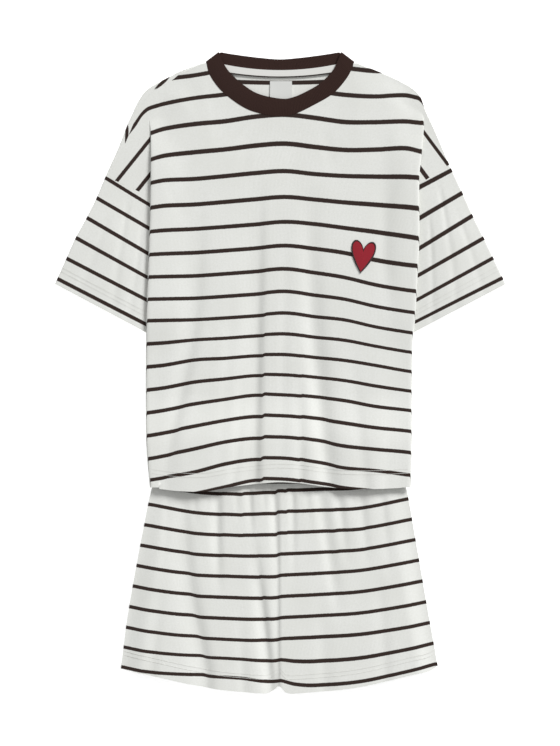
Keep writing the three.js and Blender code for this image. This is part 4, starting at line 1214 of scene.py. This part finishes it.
def place_border(across, up):
    outline_x, outline_y = heart_outline(HEART_STEPS["round"])
    size = np.hypot(outline_x, outline_y)
    round_part = 2 * np.pi * up
    reach = 1 + BORDER["width"] / 2 * (np.cos(round_part) - 1) / np.maximum(size, 6)
    x = HEART["x"] + outline_x * reach
    y = HEART["y"] + outline_y * reach
    above = BORDER["height"] * (1 + np.sin(round_part))
    return x, y, on_chest(x, y, above), x, y


def make_satin(name, hex_colour, across_way):
    """Satin stitch: parallel shiny threads, about 0.4 mm apart and drawn at 1.2 mm."""
    material, tree, shader = new_material(name, 0.45, 0.2)
    shader.inputs["Base Color"].default_value = linear(hex_colour)
    cut = add(tree, "ShaderNodeUVMap", {}, uv_map="cut").outputs["UV"]
    turned = add(tree, "ShaderNodeMapping", {"Vector": cut, "Rotation": (0, 0, across_way)})
    rows = add(tree, "ShaderNodeTexWave", {"Vector": turned.outputs[0], "Scale": 0.26,
                                           "Distortion": 1.2, "Detail Scale": 2})
    bump = add(tree, "ShaderNodeBump", {"Height": rows.outputs["Fac"], "Strength": 0.7,
                                        "Distance": 0.0004})
    tree.links.new(bump.outputs["Normal"], shader.inputs["Normal"])
    return material


satin_fill = make_satin("satin_stitch_red", "#9C0F25", 0.5)
satin_border = make_satin("satin_stitch_border", "#2A0A10", -0.6)
lay("heart_fill", place_heart, HEART_STEPS["out"], HEART_STEPS["round"], 0.6,
                     satin_fill, "heart", outwards=True)
border = lay("heart_border", place_border, BORDER["across"], HEART_STEPS["round"], 0.3,
             satin_border, "heart", outwards=True)

# %% [markdown]
# ## Hem stitches
# Hems are sewn with two rows of off-white thread, 22 and 28 mm from the edge, on the tee, the
# sleeves and the legs. Each row is a narrow raised band that follows the cloth.

# %% Lay the hem stitches
STITCHING = {"width": 0.5, "wall": 0.2, "rows": (22, 28), "clear": 0.05}
STITCHING_ENDS = {"tee": 198, "leg": 241, "centre": 2}
SLEEVE_LENGTH = 190


def tee_line(across, away):
    x = mix(-STITCHING_ENDS["tee"], STITCHING_ENDS["tee"], across)
    y = along(TEE_HEM, x) + away
    return x, y, chest_height(x, y)


def leg_line(side):
    def line(across, away):
        inner = CENTRE_SEAM + SIGN[side] * STITCHING_ENDS["centre"]
        x = mix(SIGN[side] * STITCHING_ENDS["leg"], inner, across)
        y = along(SHORTS_HEM, x) + away
        from_edge = np.abs(x - along(OUTSEAMS[side], y))
        return x, y, shorts_height(x, y, from_edge)

    return line


def cuff_line(side):
    def line(across, away):
        part = 1 - away / SLEEVE_LENGTH
        x, y, z, _, _ = place_sleeve(side)(across, part)
        upper = np.linspace(0, SLEEVE_RING["upper"], across.shape[1]).astype(int)
        return x[:, upper], y[:, upper], z[:, upper]

    return line


def place_stitching(line, away):
    def place(across, up):
        x, y, z = line(across, away + STITCHING["width"] * up)
        z = z + JERSEY / 2 + STITCHING["clear"] + STITCHING["wall"] / 2
        return x, y, z, x, up

    return place


lines = {"tee_front": (tee_line, 150)}
for side in SIGN:
    lines[f"shorts_front_{side}"] = (leg_line(side), 90)
    lines[f"sleeve_{side}"] = (cuff_line(side), SLEEVE_RING["upper"])
for node, (line, columns) in lines.items():
    [
        lay(f"{node}_stitches_{away}", place_stitching(line, away), 1, columns,
            STITCHING["wall"], light_thread, "jersey")
        for away in STITCHING["rows"]
    ]

# %% [markdown]
# ## The cut of every piece
# A cutter needs each piece's flat size before it is sewn and laid: its greatest width and length,
# its area, and what it lies on. Sleeves, waistband and collar are measured all round.

# %% State the cut
CUT = [
    {"node": "tee_front", "flat": (0.56, 0.665), "area": 0.280, "on": ["tee_back"]},
    {"node": "tee_back", "flat": (0.545, 0.655), "area": 0.265, "on": ["waistband"]},
    {"node": "sleeve_left", "flat": (0.33, 0.21), "area": 0.046, "on": []},
    {"node": "sleeve_right", "flat": (0.33, 0.21), "area": 0.044, "on": []},
    {"node": "neck_rib", "flat": (0.53, 0.027), "area": 0.0131, "on": ["tee_back"]},
    {"node": "neck_tape", "flat": (0.182, 0.012), "area": 0.0021, "on": ["neck_rib"]},
    {"node": "label", "flat": (0.034, 0.033), "area": 0.0011, "on": ["tee_back"]},
    {"node": "heart", "flat": (0.038, 0.052), "area": 0.0012, "on": ["tee_front"]},
    {"node": "shorts_front_left", "flat": (0.247, 0.34), "area": 0.073, "on": ["shorts_back_left"]},
    {"node": "shorts_front_right", "flat": (0.247, 0.34), "area": 0.073,
     "on": ["shorts_back_right"]},
    {"node": "shorts_back_left", "flat": (0.247, 0.34), "area": 0.073, "on": []},
    {"node": "shorts_back_right", "flat": (0.247, 0.34), "area": 0.072, "on": []},
    {"node": "waistband", "flat": (0.74, 0.036), "area": 0.0262, "on": []},
]
for row in CUT:
    node = row["node"]
    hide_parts(node)

# %% [markdown]
# ## Camera, floor and light
# The camera looks straight down at the middle of the set, as in the photograph. The light is that
# of a large softbox above and to the right, with a pale room around it.

# %% Camera
LENS = 85
SENSOR = 36
CLOTH_TOP = 0.004
camera_data = bpy.data.cameras.new("camera")
camera_data.lens = LENS
camera_data.sensor_width = SENSOR
camera = bpy.data.objects.new("camera", camera_data)
frame_height = PHOTO["height"] * PIXEL * MM
camera_y = (PHOTO["origin_y"] - PHOTO["height"] / 2) * PIXEL * MM
camera.location = (0, camera_y, frame_height * LENS / SENSOR + CLOTH_TOP)
bpy.context.scene.collection.objects.link(camera)
bpy.context.scene.camera = camera

# %% Floor and lights
WHITE = "#FFFFFF"
FLOOR = {"half_width": 4, "below": 0.0003, "glow": 0.6}
KEY = {"from": (1.0, 1.25, 0.85), "strength": 3.4, "softness": 20}
ROOM_STRENGTH = 0.42

floor_mesh = bpy.data.meshes.new("floor")
bm = bmesh.new()
bmesh.ops.create_grid(bm, x_segments=1, y_segments=1, size=FLOOR["half_width"])
bmesh.ops.translate(bm, verts=bm.verts, vec=(0, 0, -FLOOR["below"]))
bm.to_mesh(floor_mesh)
bm.free()
floor = bpy.data.objects.new("floor", floor_mesh)
bpy.context.scene.collection.objects.link(floor)
floor_material, _, floor_shader = new_material("white_paper", 0.9, 0)
floor_shader.inputs["Base Color"].default_value = linear(WHITE)
floor_shader.inputs["Emission Color"].default_value = linear(WHITE)
floor_shader.inputs["Emission Strength"].default_value = FLOOR["glow"]
floor_mesh.materials.append(floor_material)

key_data = bpy.data.lights.new("key", "SUN")
key_data.energy = KEY["strength"]
key_data.angle = math.radians(KEY["softness"])
key = bpy.data.objects.new("key", key_data)
key.location = KEY["from"]
key.rotation_euler = Vector(KEY["from"]).to_track_quat("Z", "Y").to_euler()
bpy.context.scene.collection.objects.link(key)
world = bpy.data.worlds.new("pale_room")
world.use_nodes = True
background = world.node_tree.nodes["Background"]
background.inputs["Color"].default_value = linear(WHITE)
background.inputs["Strength"].default_value = ROOM_STRENGTH
bpy.context.scene.world = world
bpy.context.scene.view_settings.view_transform = "Standard"
